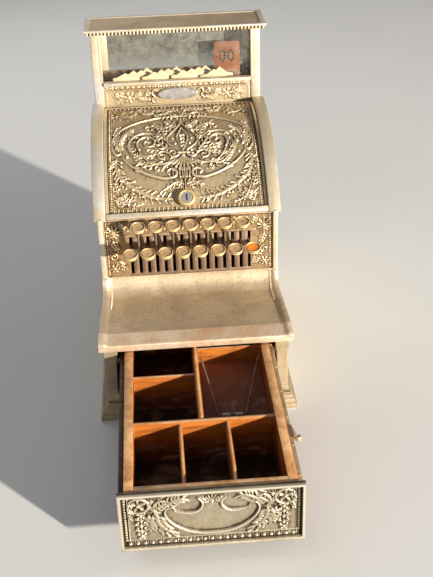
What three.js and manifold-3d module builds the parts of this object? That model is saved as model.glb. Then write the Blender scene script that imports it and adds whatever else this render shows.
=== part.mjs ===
// Counter-top cash register in cast brass, with fifteen keys, a pop-up tablet
// display, a curved lid over the works and a wooden cash drawer standing open.
// Millimetres, +Z up, front towards -Y, origin under the centre of the plinth.
// Lengths called "depth" run backwards from the front faces of the base posts.
import * as THREE from "three";
import { mergeVertices } from "three/addons/utils/BufferGeometryUtils.js";
import Module from "manifold-3d";

const wasm = await Module();
wasm.setup();

// ---- driving dimensions -------------------------------------------------
const GAP = 0.3; // between pieces that rest on each other
const FRONT_Y = -188; // row Y of depth 0
const BODY = { half: 121.5, depth: 376, wall: 7 };
const PLINTH = { halfX: 131, halfY: 203, height: 20, innerX: 109, innerY: 181 };
const HOUSING_TOP = 100;
const POST = { width: 18.5, depth: 12 };
const PANEL = { depth: 122, thick: 5, top: 227.9, half: 114 };
const SHELF = { lip: -3, front: 16, back: 100, low: 115, high: 118, rise: 141, flare: 0.0412 };
const ARC = { depth: 301.5, z: 95, rail: 225, lid: 219, inner: 213 }; // centre line of the curved lid
const LID = { half: 109, from: 82.9, to: 144, foot: 228.3, bar: 1.6 };
const HINGE = { depth: 306, z: 303, pin: 3, knuckle: 6.5 };
const DISPLAY = { front: 330, foot: 314, sill: 345.5, glass: 350, top: 424.5 };
const CORNICE = { half: 128.5, front: 306, back: 385, top: 432 };
const WINDOW = { half: 108, rearHalf: 100, rearLow: 350, rearHigh: 418 };

const KEYS = 15;
const KEY_PITCH = 11.5;
const KEY_SHIFT = 1.8; // how far the row of keys stands right of the middle
const KEY = { lever: 2.6, cup: 9.75, cupHeight: 7, tilt: 15, slot: 4 };
const PIVOT = { depth: 175, z: 185, shaft: 4, boss: 8 };
const LOWER_CUP = { depth: 72, z: 199 };
const UPPER_CUP = { depth: 95, z: 226.5 };
const FLAG = { width: 38, height: 52, thick: 1, rod: 2, pitch: 10.65, first: 337, layer: 4.5, foot: 309.5 };
const RAISED = 36.5; // lift of the tablet that stands up

const DRAWER = { front: -279, face: 7, halfFace: 100.75, half: 93.7, back: 88, wall: 10.5 };
const DRAWER_Z = { low: 20.6, face: 98, base: 30, floor: 38, top: 96.5 };
const RUNNER = { out: 100, low: 80.5, high: 90 };
const LOCK = { angle: 136.9, hole: 10.4, neck: 10, flange: 12, bore: 8, plug: 7.7 };

// ---- small helpers --------------------------------------------------------
const radians = THREE.MathUtils.degToRad;
const fromDepth = (depth) => depth + FRONT_Y;
const keyX = (i) => KEY_SHIFT + (i - (KEYS - 1) / 2) * KEY_PITCH;

// One closed, outward-facing, indexed geometry that holds positions only.
function closed(geometry) {
  const bare = geometry.clone();
  bare.deleteAttribute("normal");
  bare.deleteAttribute("uv");
  const merged = mergeVertices(bare, 1e-4);
  const old = merged.index.array;
  const keep = [];
  for (let t = 0; t < old.length; t += 3) {
    const [a, b, c] = [old[t], old[t + 1], old[t + 2]];
    if (a !== b && b !== c && c !== a) keep.push(a, b, c);
  }
  merged.setIndex(keep);
  if (signedVolume(merged) < 0) merged.setIndex(keep.reverse());
  return merged;
}

function signedVolume(geometry) {
  const at = geometry.attributes.position;
  const corners = [new THREE.Vector3(), new THREE.Vector3(), new THREE.Vector3()];
  let sum = 0;
  for (let t = 0; t < geometry.index.count; t += 3) {
    corners.forEach((corner, k) => corner.fromBufferAttribute(at, geometry.index.getX(t + k)));
    sum += corners[0].dot(corners[1].cross(corners[2]));
  }
  return sum / 6;
}

function toSolid(geometry) {
  const bare = closed(geometry);
  const vertProperties = new Float32Array(bare.attributes.position.array);
  const triVerts = new Uint32Array(bare.index.array);
  return new wasm.Manifold(new wasm.Mesh({ numProp: 3, vertProperties, triVerts }));
}

function toGeometry(solid) {
  const mesh = solid.getMesh();
  const geometry = new THREE.BufferGeometry();
  geometry.setAttribute("position", new THREE.BufferAttribute(new Float32Array(mesh.vertProperties), 3));
  geometry.setIndex(Array.from(mesh.triVerts));
  return geometry;
}

function join(...geometries) {
  return toGeometry(geometries.map(toSolid).reduce((all, one) => all.add(one)));
}

function cut(geometry, ...tools) {
  return toGeometry(tools.map(toSolid).reduce((left, tool) => left.subtract(tool), toSolid(geometry)));
}

// A box between two corners given as [x, depth, z].
function block(low, high) {
  const size = high.map((v, k) => v - low[k]);
  const geometry = new THREE.BoxGeometry(...size);
  const mid = high.map((v, k) => (v + low[k]) / 2);
  return geometry.translate(mid[0], fromDepth(mid[1]), mid[2]);
}

function outline(points, holes = []) {
  const shape = new THREE.Shape(points.map(([u, v]) => new THREE.Vector2(u, v)));
  holes.forEach((hole) => shape.holes.push(new THREE.Path(hole.map(([u, v]) => new THREE.Vector2(u, v)))));
  return shape;
}

function extrude(shape, depth) {
  return new THREE.ExtrudeGeometry(shape, { depth, bevelEnabled: false, steps: 1, curveSegments: 8 });
}

// Outline in (depth, z), extruded from x0 to x1.
function acrossX(points, x0, x1) {
  const geometry = extrude(outline(points), x1 - x0);
  const axes = new THREE.Matrix4().set(0, 0, 1, x0, 1, 0, 0, FRONT_Y, 0, 1, 0, 0, 0, 0, 0, 1);
  return geometry.applyMatrix4(axes);
}

// Outline in (x, z), extruded from one depth to another.
function throughY(points, depth0, depth1, holes = []) {
  const geometry = extrude(outline(points, holes), depth1 - depth0);
  const axes = new THREE.Matrix4().set(1, 0, 0, 0, 0, 0, -1, fromDepth(depth1), 0, 1, 0, 0, 0, 0, 0, 1);
  return geometry.applyMatrix4(axes);
}

// Outline in (x, depth), extruded from z0 to z1.
function upZ(points, z0, z1) {
  return extrude(outline(points), z1 - z0).translate(0, FRONT_Y, z0);
}

const rectangle = (u0, v0, u1, v1) => [[u0, v0], [u1, v0], [u1, v1], [u0, v1]];

// A rod of flat sides between two points [x, depth, z].
function rod(from, to, radius, sides = 12) {
  const start = new THREE.Vector3(from[0], fromDepth(from[1]), from[2]);
  const end = new THREE.Vector3(to[0], fromDepth(to[1]), to[2]);
  const along = end.clone().sub(start);
  const geometry = new THREE.CylinderGeometry(radius, radius, along.length(), sides);
  const turn = new THREE.Quaternion().setFromUnitVectors(new THREE.Vector3(0, 1, 0), along.normalize());
  return geometry.applyQuaternion(turn).translate(...start.add(end).multiplyScalar(0.5).toArray());
}

// A turned solid about its own Z, from a profile of [radius, height].
function turned(profile, sides) {
  const points = profile.map(([r, h]) => new THREE.Vector2(r, h));
  return new THREE.LatheGeometry(points, sides).rotateX(Math.PI / 2);
}

// Points on the lid's arc, as [depth, z], with the angle from the rearward horizontal.
function arcPoint(radius, degrees) {
  return [ARC.depth + radius * Math.cos(radians(degrees)), ARC.z + radius * Math.sin(radians(degrees))];
}

function arcBand(inner, outer, from, to, steps) {
  const angles = Array.from({ length: steps + 1 }, (_, k) => from + ((to - from) * k) / steps);
  const out = angles.map((a) => arcPoint(outer, a));
  return [...out, ...angles.reverse().map((a) => arcPoint(inner, a))];
}

// A moulding of [offset, z] points swept round a rectangle with mitred corners.
function mitredRing(innerX, innerY, middleY, profile) {
  const corners = [[1, 1], [-1, 1], [-1, -1], [1, -1]];
  const positions = [];
  corners.forEach(([sx, sy]) => profile.forEach(([offset, z]) => {
    positions.push(sx * (innerX + offset), middleY + sy * (innerY + offset), z);
  }));
  const index = [];
  const n = profile.length;
  corners.forEach((_, c) => profile.forEach((__, p) => {
    const [a, b] = [c * n + p, c * n + ((p + 1) % n)];
    const [d, e] = [((c + 1) % 4) * n + p, ((c + 1) % 4) * n + ((p + 1) % n)];
    index.push(a, d, b, b, d, e);
  }));
  const geometry = new THREE.BufferGeometry();
  geometry.setAttribute("position", new THREE.Float32BufferAttribute(positions, 3));
  geometry.setIndex(index);
  return closed(geometry);
}

// ---- materials -------------------------------------------------------------
function paint(color, roughness, metalness) {
  return () => new THREE.MeshStandardMaterial({ color, roughness, metalness });
}
const BRASS = paint(0xb9a77c, 0.5, 0.8);
const ORNATE = paint(0xa3905f, 0.55, 0.8);
const PALE = paint(0xc9b594, 0.6, 0.6);
const STEEL = paint(0x8d8b86, 0.45, 0.9);
const SILVER = paint(0xb5b2ac, 0.35, 0.9);
const WOOD = paint(0xa8622c, 0.6, 0);
const PINE = paint(0x7d5733, 0.8, 0);
const CREAM = paint(0xe2d3a2, 0.6, 0.1);
const ORANGE = paint(0xc8552f, 0.6, 0.1);

function glassPane() {
  return new THREE.MeshStandardMaterial({
    color: 0x9aa09c, roughness: 0.2, metalness: 0, transparent: true, opacity: 0.4,
  });
}

const register = new THREE.Group();

function add(name, geometry, material) {
  const ready = closed(geometry);
  ready.computeVertexNormals();
  const mesh = new THREE.Mesh(ready, material());
  mesh.name = name;
  register.add(mesh);
  return mesh;
}

// ---- base -------------------------------------------------------------------
function plinth() {
  const out = PLINTH.halfX - PLINTH.innerX;
  const body = BODY.half - PLINTH.innerX;
  const profile = [
    [0, 0], [out, 0], [out, 7], [out - 2.5, 7.8], [out - 2.5, 13],
    [out - 6, 14], [out - 6, 16.5], [body, PLINTH.height], [0, PLINTH.height],
  ];
  return mitredRing(PLINTH.innerX, PLINTH.innerY, 0, profile);
}

function bottomBoard() {
  const [x, y] = [PLINTH.innerX - GAP, PLINTH.innerY - GAP];
  return block([-x, -y - FRONT_Y, 0], [x, y - FRONT_Y, 8]);
}

// Posts, side walls and back wall in one casting, with the ledges the drawer runs on.
function drawerHousing() {
  const out = BODY.half;
  const inside = out - 6;
  const bay = out - POST.width;
  const plan = [
    [-out, 0], [-bay, 0], [-bay, POST.depth], [-inside, POST.depth], [-inside, BODY.depth - 6],
    [inside, BODY.depth - 6], [inside, POST.depth], [bay, POST.depth], [bay, 0],
    [out, 0], [out, BODY.depth], [-out, BODY.depth],
  ];
  const walls = upZ(plan, PLINTH.height + GAP, HOUSING_TOP - GAP);
  const ledges = [-1, 1].map((side) => {
    const [near, far] = [side * (DRAWER.half + 1.3), side * (inside + 0.5)].sort((a, b) => a - b);
    return block([near, POST.depth + 2, RUNNER.low - 10], [far, BODY.depth - 12, RUNNER.low - 1]);
  });
  const catchWay = block([bay - 1, -1, 83.5], [bay + 7.5, POST.depth + 1, HOUSING_TOP]);
  return cut(join(walls, ...ledges), catchWay);
}

// ---- apron: lip, shelf and the curve up to the keyboard ----------------------
function apronLine(raise) {
  const centre = SHELF.back - raise;
  const across = PANEL.depth - SHELF.back;
  const steps = Array.from({ length: 7 }, (_, k) => radians(15 * k));
  const curve = steps.map((a) => [
    centre + across * Math.sin(a),
    SHELF.rise - (SHELF.rise - SHELF.high - raise) * Math.cos(a),
  ]);
  return [[SHELF.lip, HOUSING_TOP], [SHELF.lip, 108.5 + raise], [SHELF.front, SHELF.low + raise], ...curve];
}

function apron() {
  const wall = 4.5;
  const back = PANEL.depth + wall;
  const foot = [[back, SHELF.rise], [back, HOUSING_TOP]];
  const sheet = acrossX([...apronLine(0), ...foot], -BODY.half, BODY.half);
  const rims = [-1, 1].map((side) => {
    const [x0, x1] = [side * (BODY.half - 9), side * BODY.half].sort((a, b) => a - b);
    return acrossX([...apronLine(3), ...foot], x0, x1);
  });
  const steps = Array.from({ length: 7 }, (_, k) => radians(15 * k));
  const inside = steps.map((a) => [
    SHELF.back + (back - SHELF.back) * Math.sin(a),
    SHELF.rise - (SHELF.rise - SHELF.high + wall) * Math.cos(a),
  ]);
  const hollow = [
    [4, HOUSING_TOP - 5], [4, 105], [18, 110.3], ...inside, [back + 9, SHELF.rise], [back + 9, HOUSING_TOP - 5],
  ];
  const shell = cut(join(sheet, ...rims), acrossX(hollow, 6 - BODY.half, BODY.half - 6));
  const at = shell.attributes.position;
  for (let v = 0; v < at.count; v++) {
    const forward = (fromDepth(SHELF.back) - at.getY(v)) / (SHELF.back - SHELF.lip);
    at.setX(v, at.getX(v) * (1 + SHELF.flare * THREE.MathUtils.clamp(forward, 0, 1)));
  }
  return shell;
}

// ---- upper cabinet -------------------------------------------------------------
function sideCasting(side) {
  const span = (x0, x1) => [side * x0, side * x1].sort((a, b) => a - b);
  const back = PANEL.depth + 4.5 + GAP;
  const arc = Array.from({ length: 10 }, (_, k) => arcPoint(ARC.rail, 83.3 + ((142.8 - 83.3) * k) / 9));
  const edge = [
    [back, HOUSING_TOP + GAP], [BODY.depth, HOUSING_TOP + GAP], [BODY.depth, DISPLAY.top],
    [DISPLAY.front, DISPLAY.top], [DISPLAY.front, 318.6], ...arc,
    [PANEL.depth - 3, 229], [PANEL.depth - 3, SHELF.rise + GAP], [back, SHELF.rise + GAP],
  ];
  const plate = acrossX(edge, ...span(BODY.half - BODY.wall, BODY.half));
  const band = arcBand(ARC.inner - 5, ARC.rail, LID.from, 142, 10);
  const rail = acrossX(band, ...span(LID.half + 0.6, BODY.half + 4.5));
  const [x0, x1] = span(WINDOW.half, BODY.half);
  const post = block([x0, DISPLAY.front, 312], [x1, DISPLAY.front + 10, DISPLAY.top]);
  const bores = [
    [PIVOT.depth, PIVOT.z, PIVOT.shaft + GAP],
    [HINGE.depth, HINGE.z, HINGE.pin + GAP],
    [COUNTER.depth, COUNTER.z, COUNTER.shaft + GAP],
  ].map(([depth, z, radius]) => rod([side * 100, depth, z], [side * 119, depth, z], radius));
  return cut(join(plate, rail, post), ...bores);
}

function backCover() {
  const half = BODY.half - BODY.wall - GAP;
  const window = rectangle(-WINDOW.rearHalf, WINDOW.rearLow, WINDOW.rearHalf, WINDOW.rearHigh);
  const rim = rectangle(-half, HOUSING_TOP + GAP, half, DISPLAY.top);
  const plate = throughY(rim, BODY.depth - 5, BODY.depth, [window]);
  const cheeks = [-1, 1].map((side) => {
    const [x0, x1] = [side * 6, side * 10].sort((a, b) => a - b);
    return block([x0, LATCH.depth - 7, LATCH.z - 6], [x1, BODY.depth - 4, LATCH.z + 6]);
  });
  const bore = rod([-20, LATCH.depth, LATCH.z], [20, LATCH.depth, LATCH.z], LATCH.pin + GAP);
  return cut(join(plate, ...cheeks), bore);
}

function keyboardPanel() {
  const back = PANEL.depth + PANEL.thick;
  const plate = block([-PANEL.half, PANEL.depth, SHELF.rise + GAP], [PANEL.half, back, PANEL.top]);
  const slots = Array.from({ length: KEYS }, (_, i) => {
    const [x, half] = [keyX(i), KEY.slot / 2];
    return block([x - half, PANEL.depth - 1, 145], [x + half, back + 1, 200]);
  });
  return cut(plate, ...slots);
}

// ---- keys ------------------------------------------------------------------------
function cup(place, sides) {
  const r = KEY.cup;
  const half = KEY.cupHeight / 2;
  const profile = [
    [0, -half], [r - 2, -half], [r, -half + 2], [r, half],
    [r - 1.6, half], [r - 1.6, half - 1.2], [0, half - 1.2],
  ];
  return turned(profile, sides).rotateX(radians(KEY.tilt)).translate(0, fromDepth(place.depth), place.z);
}

// A flat lever: finger end in front of the pivot, arm under the tablet rod behind it.
function key(i) {
  const lower = i % 2 === 0;
  const place = lower ? LOWER_CUP : UPPER_CUP;
  const rear = flagDepth(i) + 8;
  const finger = lower
    ? [[84, 184], [71, 190.5], [70, 196.6], [76, 195.6], [84, 191.5], [96, 189.5]]
    : [[103, 182], [97, 186], [92, 224], [98, 224], [104, 190]];
  const edge = [
    [rear, 182], [rear, 188], [PIVOT.depth + 7, 190], [PIVOT.depth - 7, 190], [118, 188.5],
    ...finger.reverse(), [118, 181.5], [PIVOT.depth - 7, 180], [PIVOT.depth + 7, 180],
  ];
  const half = KEY.lever / 2;
  const bar = acrossX(edge, -half, half);
  const boss = rod([-half, PIVOT.depth, PIVOT.z], [half, PIVOT.depth, PIVOT.z], PIVOT.boss);
  const bore = rod([-half - 1, PIVOT.depth, PIVOT.z], [half + 1, PIVOT.depth, PIVOT.z], PIVOT.shaft + GAP);
  return cut(join(bar, boss, cup(place, 12)), bore).translate(keyX(i), 0, 0);
}

// ---- display -----------------------------------------------------------------------
function flagDepth(i) {
  return FLAG.first + FLAG.layer * (i % 4);
}

function flag(i, lift) {
  const [w, h] = [FLAG.width / 2, FLAG.height];
  const gable = [[-w, 0], [w, 0], [w, h - 8], [2.5, h - 1.5], [0, h], [-2.5, h - 1.5], [-w, h - 8]];
  const clipped = [[-w, 0], [w, 0], [w, h - 7], [w - 5, h], [4 - w, h], [-w, h - 5]];
  const edge = lift > 0 ? clipped : gable;
  const shift = (i - (KEYS - 1) / 2) * FLAG.pitch;
  const depth = flagDepth(i);
  const board = edge.map(([x, z]) => [x + shift, z + FLAG.foot + lift]);
  const tablet = throughY(board, depth, depth + FLAG.thick);
  const [x, r] = [keyX(i), FLAG.rod / 2];
  const stem = block(
    [x - r, depth - 0.5, PIVOT.z + 3 + GAP + lift],
    [x + r, depth + 1.5, FLAG.foot + 6 + lift],
  );
  return join(tablet, stem);
}

function flagGuide() {
  const half = BODY.half - BODY.wall - 0.5;
  const [front, back] = [FLAG.first - 5, FLAG.first + 3 * FLAG.layer + 6];
  const holes = Array.from({ length: KEYS }, (_, i) => {
    const [x, mid, r] = [keyX(i), flagDepth(i) + 0.5, FLAG.rod / 2 + 0.5];
    return block([x - r, mid - r, 290], [x + r, mid + r, 310]);
  });
  return cut(block([-half, front, 298], [half, back, 301]), ...holes);
}

function frieze() {
  const half = WINDOW.half - 0.4;
  const plate = block([-half, DISPLAY.front, DISPLAY.foot], [half, DISPLAY.front + 5, DISPLAY.sill + 1]);
  const sill = block([-half, DISPLAY.front - 5, DISPLAY.sill], [half, DISPLAY.front + 6, DISPLAY.glass]);
  return join(plate, sill);
}

function nameplate() {
  const steps = Array.from({ length: 20 }, (_, k) => (2 * Math.PI * k) / 20);
  const oval = steps.map((a) => [29 * Math.cos(a), 330 + 8.8 * Math.sin(a)]);
  return throughY(oval, DISPLAY.front - 6, DISPLAY.front - GAP);
}

function cornice() {
  const [halfX, halfY] = [CORNICE.half, (CORNICE.back - CORNICE.front) / 2];
  const middle = fromDepth((CORNICE.back + CORNICE.front) / 2);
  const band = 22;
  const foot = DISPLAY.top + GAP;
  const profile = [
    [0, foot], [band - 6, foot], [band - 5, 429], [band - 1, 429.6], [band, 430.4], [band, CORNICE.top],
    [0, CORNICE.top],
  ];
  const ring = mitredRing(halfX - band, halfY - band, middle, profile);
  const top = new THREE.BoxGeometry(2 * (halfX - band) + 2, 2 * (halfY - band) + 2, 6);
  return join(ring, top.translate(0, middle, CORNICE.top - 3));
}

// ---- lid and lock --------------------------------------------------------------------
function lockFrame(geometry) {
  const turn = new THREE.Matrix4().makeRotationX(radians(LOCK.angle - 90));
  const centre = new THREE.Matrix4().makeTranslation(0, fromDepth(ARC.depth), ARC.z);
  return geometry.applyMatrix4(turn).applyMatrix4(centre);
}

function lid() {
  const skin = acrossX(arcBand(ARC.inner, ARC.lid, LID.from, LID.to, 14), -LID.half, LID.half);
  const bar = acrossX(arcBand(ARC.inner + 1, ARC.rail, 143 - LID.bar, LID.to, 1), -LID.half, LID.half);
  const knuckles = [-80, 80].map((x) => {
    return rod([x - 10, HINGE.depth, HINGE.z], [x + 10, HINGE.depth, HINGE.z], HINGE.knuckle);
  });
  const foot = block([-130, 100, 200], [130, 150, LID.foot]);
  const pinWay = rod([-130, HINGE.depth, HINGE.z], [130, HINGE.depth, HINGE.z], HINGE.pin + GAP);
  const neck = lockFrame(turned([[0, 200], [LOCK.hole, 200], [LOCK.hole, 240], [0, 240]], 16));
  return cut(join(skin, bar, ...knuckles), foot, pinWay, neck);
}

function lockBarrel() {
  const seat = ARC.lid + GAP;
  const profile = [
    [LOCK.bore, 209], [LOCK.neck, 209], [LOCK.neck, seat], [LOCK.flange, seat],
    [LOCK.flange, seat + 6], [LOCK.flange - 1.5, seat + 8], [LOCK.bore, seat + 8], [LOCK.bore, 209],
  ];
  return lockFrame(turned(profile, 16));
}

function lockPlug() {
  const face = ARC.lid + 7.6;
  const plug = turned([[0, 203], [LOCK.plug, 203], [LOCK.plug, face], [0, face]], 16);
  const cam = new THREE.BoxGeometry(26, 9, 2.5).translate(9, 0, 204.25);
  const slot = new THREE.BoxGeometry(1.8, 8.5, 10).translate(0, 0, face);
  return lockFrame(cut(join(plug, cam), slot));
}

// ---- drawer -----------------------------------------------------------------------------
function drawerFront() {
  const half = DRAWER.halfFace;
  return block([-half, DRAWER.front, DRAWER_Z.low], [half, DRAWER.front + DRAWER.face, DRAWER_Z.face]);
}

function drawerBox() {
  const front = DRAWER.front + DRAWER.face + GAP;
  const [half, wall] = [DRAWER.half, DRAWER.wall];
  const body = block([-half, front, DRAWER_Z.base], [half, DRAWER.back, DRAWER_Z.top]);
  const inside = [half - wall, DRAWER.back - wall];
  return cut(body, block([-inside[0], front + wall, DRAWER_Z.floor], [inside[0], inside[1], DRAWER_Z.top + 5]));
}

const INSIDE = {
  half: DRAWER.half - DRAWER.wall - GAP,
  front: DRAWER.front + DRAWER.face + DRAWER.wall + 2 * GAP,
  back: DRAWER.back - DRAWER.wall - GAP,
  floor: DRAWER_Z.floor + GAP,
};
const CROSS = { depth: -151, thick: 7 };
const SPINE = { x: -6.2, thick: 6.5 };
const SLOPE = { low: 40, high: 70, back: 3, top: 92 };

function coinDividers() {
  const cross = block(
    [-INSIDE.half, CROSS.depth, INSIDE.floor],
    [INSIDE.half, CROSS.depth + CROSS.thick, 93],
  );
  const fins = [-31, 25].map((x) => block([x, INSIDE.front, INSIDE.floor], [x + 5, CROSS.depth + 1, 91]));
  return join(cross, ...fins);
}

function spineDivider() {
  const front = CROSS.depth + CROSS.thick + GAP;
  const spine = block([SPINE.x, front, INSIDE.floor], [SPINE.x + SPINE.thick, INSIDE.back, 93]);
  const shelf = block([-INSIDE.half, -49, INSIDE.floor], [SPINE.x + 1, -43, 88]);
  return join(spine, shelf);
}

function billRamp() {
  const front = CROSS.depth + CROSS.thick + GAP;
  const edge = [
    [front, INSIDE.floor], [SLOPE.back + 5, INSIDE.floor], [SLOPE.back + 5, SLOPE.top],
    [SLOPE.back, SLOPE.top], [SLOPE.back, SLOPE.high], [front, SLOPE.low],
  ];
  return acrossX(edge, SPINE.x + SPINE.thick + GAP, INSIDE.half);
}

// Wire bail that holds the notes down, hung between the spine and the drawer side.
const BAIL = { depth: -14, z: 88, left: 4, right: 79, wire: 1.4, foot: -92, footZ: 54.6 };

function billWeight() {
  const pivots = [[BAIL.left - 2.5, BAIL.depth, BAIL.z], [BAIL.right + 2.5, BAIL.depth, BAIL.z]];
  const shoulders = [[BAIL.left, BAIL.depth, BAIL.z], [BAIL.right, BAIL.depth, BAIL.z]];
  const feet = [[21, BAIL.foot, BAIL.footZ], [55, BAIL.foot, BAIL.footZ]];
  const path = [pivots[0], shoulders[0], feet[0], feet[1], shoulders[1], pivots[1]];
  const wires = path.slice(1).map((point, k) => rod(path[k], point, BAIL.wire, 6));
  const bends = path.slice(1, -1).map(([x, depth, z]) => {
    return new THREE.IcosahedronGeometry(BAIL.wire * 1.4, 0).translate(x, fromDepth(depth), z);
  });
  const sleeves = [25, 41].map((x) => rod([x, BAIL.foot, BAIL.footZ], [x + 10, BAIL.foot, BAIL.footZ], 2.9, 8));
  return join(...wires, ...bends, ...sleeves);
}

function runner(side) {
  const [x0, x1] = [side * (DRAWER.half + GAP), side * RUNNER.out].sort((a, b) => a - b);
  const strip = block([x0, DRAWER.front + DRAWER.face + GAP, RUNNER.low], [x1, DRAWER.back, RUNNER.high]);
  if (side < 0) return strip;
  const edge = RUNNER.out - 0.5;
  return join(strip, upZ([[edge, -193], [107, -195], [108.5, -190], [edge, -163]], 85, 95));
}

// ---- works inside ------------------------------------------------------------------------
const COUNTER = { depth: 232, z: 262, shaft: 3, wheel: 17 };
const LATCH = { depth: 333, z: 112, pin: 3 };

function pivotShaft() {
  return rod([-118, PIVOT.depth, PIVOT.z], [118, PIVOT.depth, PIVOT.z], PIVOT.shaft);
}

function hingePin() {
  return rod([-118, HINGE.depth, HINGE.z], [118, HINGE.depth, HINGE.z], HINGE.pin);
}

function counterWheels() {
  const wheels = Array.from({ length: 6 }, (_, k) => {
    const x = -40 + 14 * k;
    return rod([x, COUNTER.depth, COUNTER.z], [x + 10, COUNTER.depth, COUNTER.z], COUNTER.wheel, 14);
  });
  const shaft = rod([-118, COUNTER.depth, COUNTER.z], [118, COUNTER.depth, COUNTER.z], COUNTER.shaft);
  return join(shaft, ...wheels);
}

function bell() {
  const dome = Array.from({ length: 6 }, (_, k) => {
    return [28 * Math.sin(radians(90 - 16 * k)), 22 * Math.cos(radians(90 - 16 * k))];
  });
  const inner = Array.from({ length: 6 }, (_, k) => {
    return [26 * Math.sin(radians(10 + 16 * k)), 20 * Math.cos(radians(10 + 16 * k))];
  });
  const shell = turned([...dome, [3, 22.5], [0, 22.5], [0, 19.8], ...inner, dome[0]], 14);
  const post = turned([[0, -6], [3, -6], [3, 21], [0, 21]], 8);
  return join(shell, post).rotateX(radians(90)).translate(60, fromDepth(BODY.depth - 12), 140);
}

// Hook that drops in front of the drawer's back wall when the drawer is shut.
function drawerLatch() {
  const edge = [
    [LATCH.depth - 6, LATCH.z - 5], [LATCH.depth + 5, LATCH.z - 5], [LATCH.depth + 14, 105],
    [LATCH.depth + 15, 98.5], [LATCH.depth + 19, 98.5], [LATCH.depth + 20, 108],
    [LATCH.depth + 12, LATCH.z + 5], [LATCH.depth - 6, LATCH.z + 5],
  ];
  const hook = acrossX(edge, -4, 4);
  const pin = rod([-9.5, LATCH.depth, LATCH.z], [9.5, LATCH.depth, LATCH.z], LATCH.pin);
  return join(hook, pin);
}

// ---- assembly ---------------------------------------------------------------------------
const number = (i) => String(i).padStart(2, "0");

function build() {
  add("plinth", plinth(), BRASS);
  add("bottom_board", bottomBoard(), PINE);
  add("drawer_housing", drawerHousing(), BRASS);
  add("apron", apron(), PALE);
  add("left_side_casting", sideCasting(-1), BRASS);
  add("right_side_casting", sideCasting(1), BRASS);
  add("back_cover", backCover(), BRASS);
  add("keyboard_panel", keyboardPanel(), ORNATE);
  add("frieze", frieze(), ORNATE);
  add("nameplate", nameplate(), SILVER);
  add("cornice", cornice(), PALE);
  const glassHalf = WINDOW.half - 0.4;
  const [near, far] = [DISPLAY.front + 1, DISPLAY.front + 3.5];
  add("front_glass", block([-glassHalf, near, DISPLAY.glass + GAP], [glassHalf, far, DISPLAY.top]), glassPane);
  const rear = WINDOW.rearHalf - 0.4;
  const [low, high] = [WINDOW.rearLow + 0.4, WINDOW.rearHigh - 0.4];
  add("rear_glass", block([-rear, BODY.depth - 4, low], [rear, BODY.depth - 1.5, high]), glassPane);
  add("flag_guide", flagGuide(), STEEL);
  add("lid", lid(), ORNATE);
  add("lid_hinge_pin", hingePin(), STEEL);
  add("lock_barrel", lockBarrel(), BRASS);
  add("lock_plug", lockPlug(), SILVER);
  add("key_pivot_shaft", pivotShaft(), STEEL);
  add("counter_wheels", counterWheels(), SILVER);
  add("bell", bell(), BRASS);
  add("drawer_latch", drawerLatch(), STEEL);
  add("drawer_front", drawerFront(), ORNATE);
  add("drawer_box", drawerBox(), WOOD);
  add("coin_dividers", coinDividers(), WOOD);
  add("spine_divider", spineDivider(), WOOD);
  add("bill_ramp", billRamp(), WOOD);
  add("left_runner", runner(-1), STEEL);
  add("right_runner", runner(1), STEEL);
  add("bill_weight", billWeight(), STEEL);
  for (let i = 0; i < KEYS; i++) {
    const last = i === KEYS - 1;
    add(`key_${number(i)}`, key(i), BRASS);
    add(`flag_${number(i)}`, flag(i, last ? RAISED : 0), last ? ORANGE : CREAM);
  }
}

build();
export default register;
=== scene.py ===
"""Looks of the antique cash register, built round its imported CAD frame.

Shapes are worked out in millimetres in the frame's own axes (+Z up, front towards -Y)
and turned into metres when a mesh is made. "Depth" runs back from the base's front.
"""
import math

import bmesh
import bpy
import numpy as np
from mathutils import Matrix, Vector


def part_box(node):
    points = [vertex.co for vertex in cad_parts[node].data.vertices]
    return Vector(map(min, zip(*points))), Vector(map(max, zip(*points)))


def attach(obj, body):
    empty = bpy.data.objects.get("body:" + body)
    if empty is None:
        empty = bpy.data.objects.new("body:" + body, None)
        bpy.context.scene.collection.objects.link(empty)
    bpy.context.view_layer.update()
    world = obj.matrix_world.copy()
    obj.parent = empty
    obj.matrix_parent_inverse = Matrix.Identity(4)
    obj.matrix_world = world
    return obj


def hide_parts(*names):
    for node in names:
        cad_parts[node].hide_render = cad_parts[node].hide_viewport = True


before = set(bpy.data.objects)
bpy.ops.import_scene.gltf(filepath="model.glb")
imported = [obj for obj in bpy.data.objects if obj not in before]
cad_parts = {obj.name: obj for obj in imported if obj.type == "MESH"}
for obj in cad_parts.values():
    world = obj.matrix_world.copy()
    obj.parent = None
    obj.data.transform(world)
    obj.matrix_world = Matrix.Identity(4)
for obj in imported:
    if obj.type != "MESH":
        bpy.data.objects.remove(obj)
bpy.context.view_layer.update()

MM = 0.001


def node_box(name):
    """Lowest and highest corner of a CAD node, in millimetres."""
    low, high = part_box(name)
    return np.array(low) / MM, np.array(high) / MM


# ---- places taken from the frame, and the few design facts it doesn't state -----------
FRONT_Y = node_box("drawer_housing")[0][1]
BODY_HALF = node_box("drawer_housing")[1][0]
BODY_BACK = node_box("drawer_housing")[1][1] - FRONT_Y
ARC_DEPTH, ARC_Z = 301.5, 95.0  # centre line of the curved lid
LID_R, RAIL_R = 219.0, 225.0
LID_HALF = node_box("lid")[1][0]
LID_FROM, LID_TO = 82.9, 143.3  # angles of its upper and lower edge
KEYS = 15
FLAG_PITCH = 10.65
DISPLAY_FRONT, DISPLAY_TOP = 330.0, 424.5
LOCK_ANGLE = 136.9
RAIL_FOOT = 228.4  # the curved rails end level at this height


def to_y(depth):
    return depth + FRONT_Y


def arc_point(radius, degrees):
    """[depth, z] on a circle about the lid's centre line."""
    a = np.radians(degrees)
    return ARC_DEPTH + radius * np.cos(a), ARC_Z + radius * np.sin(a)


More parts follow.
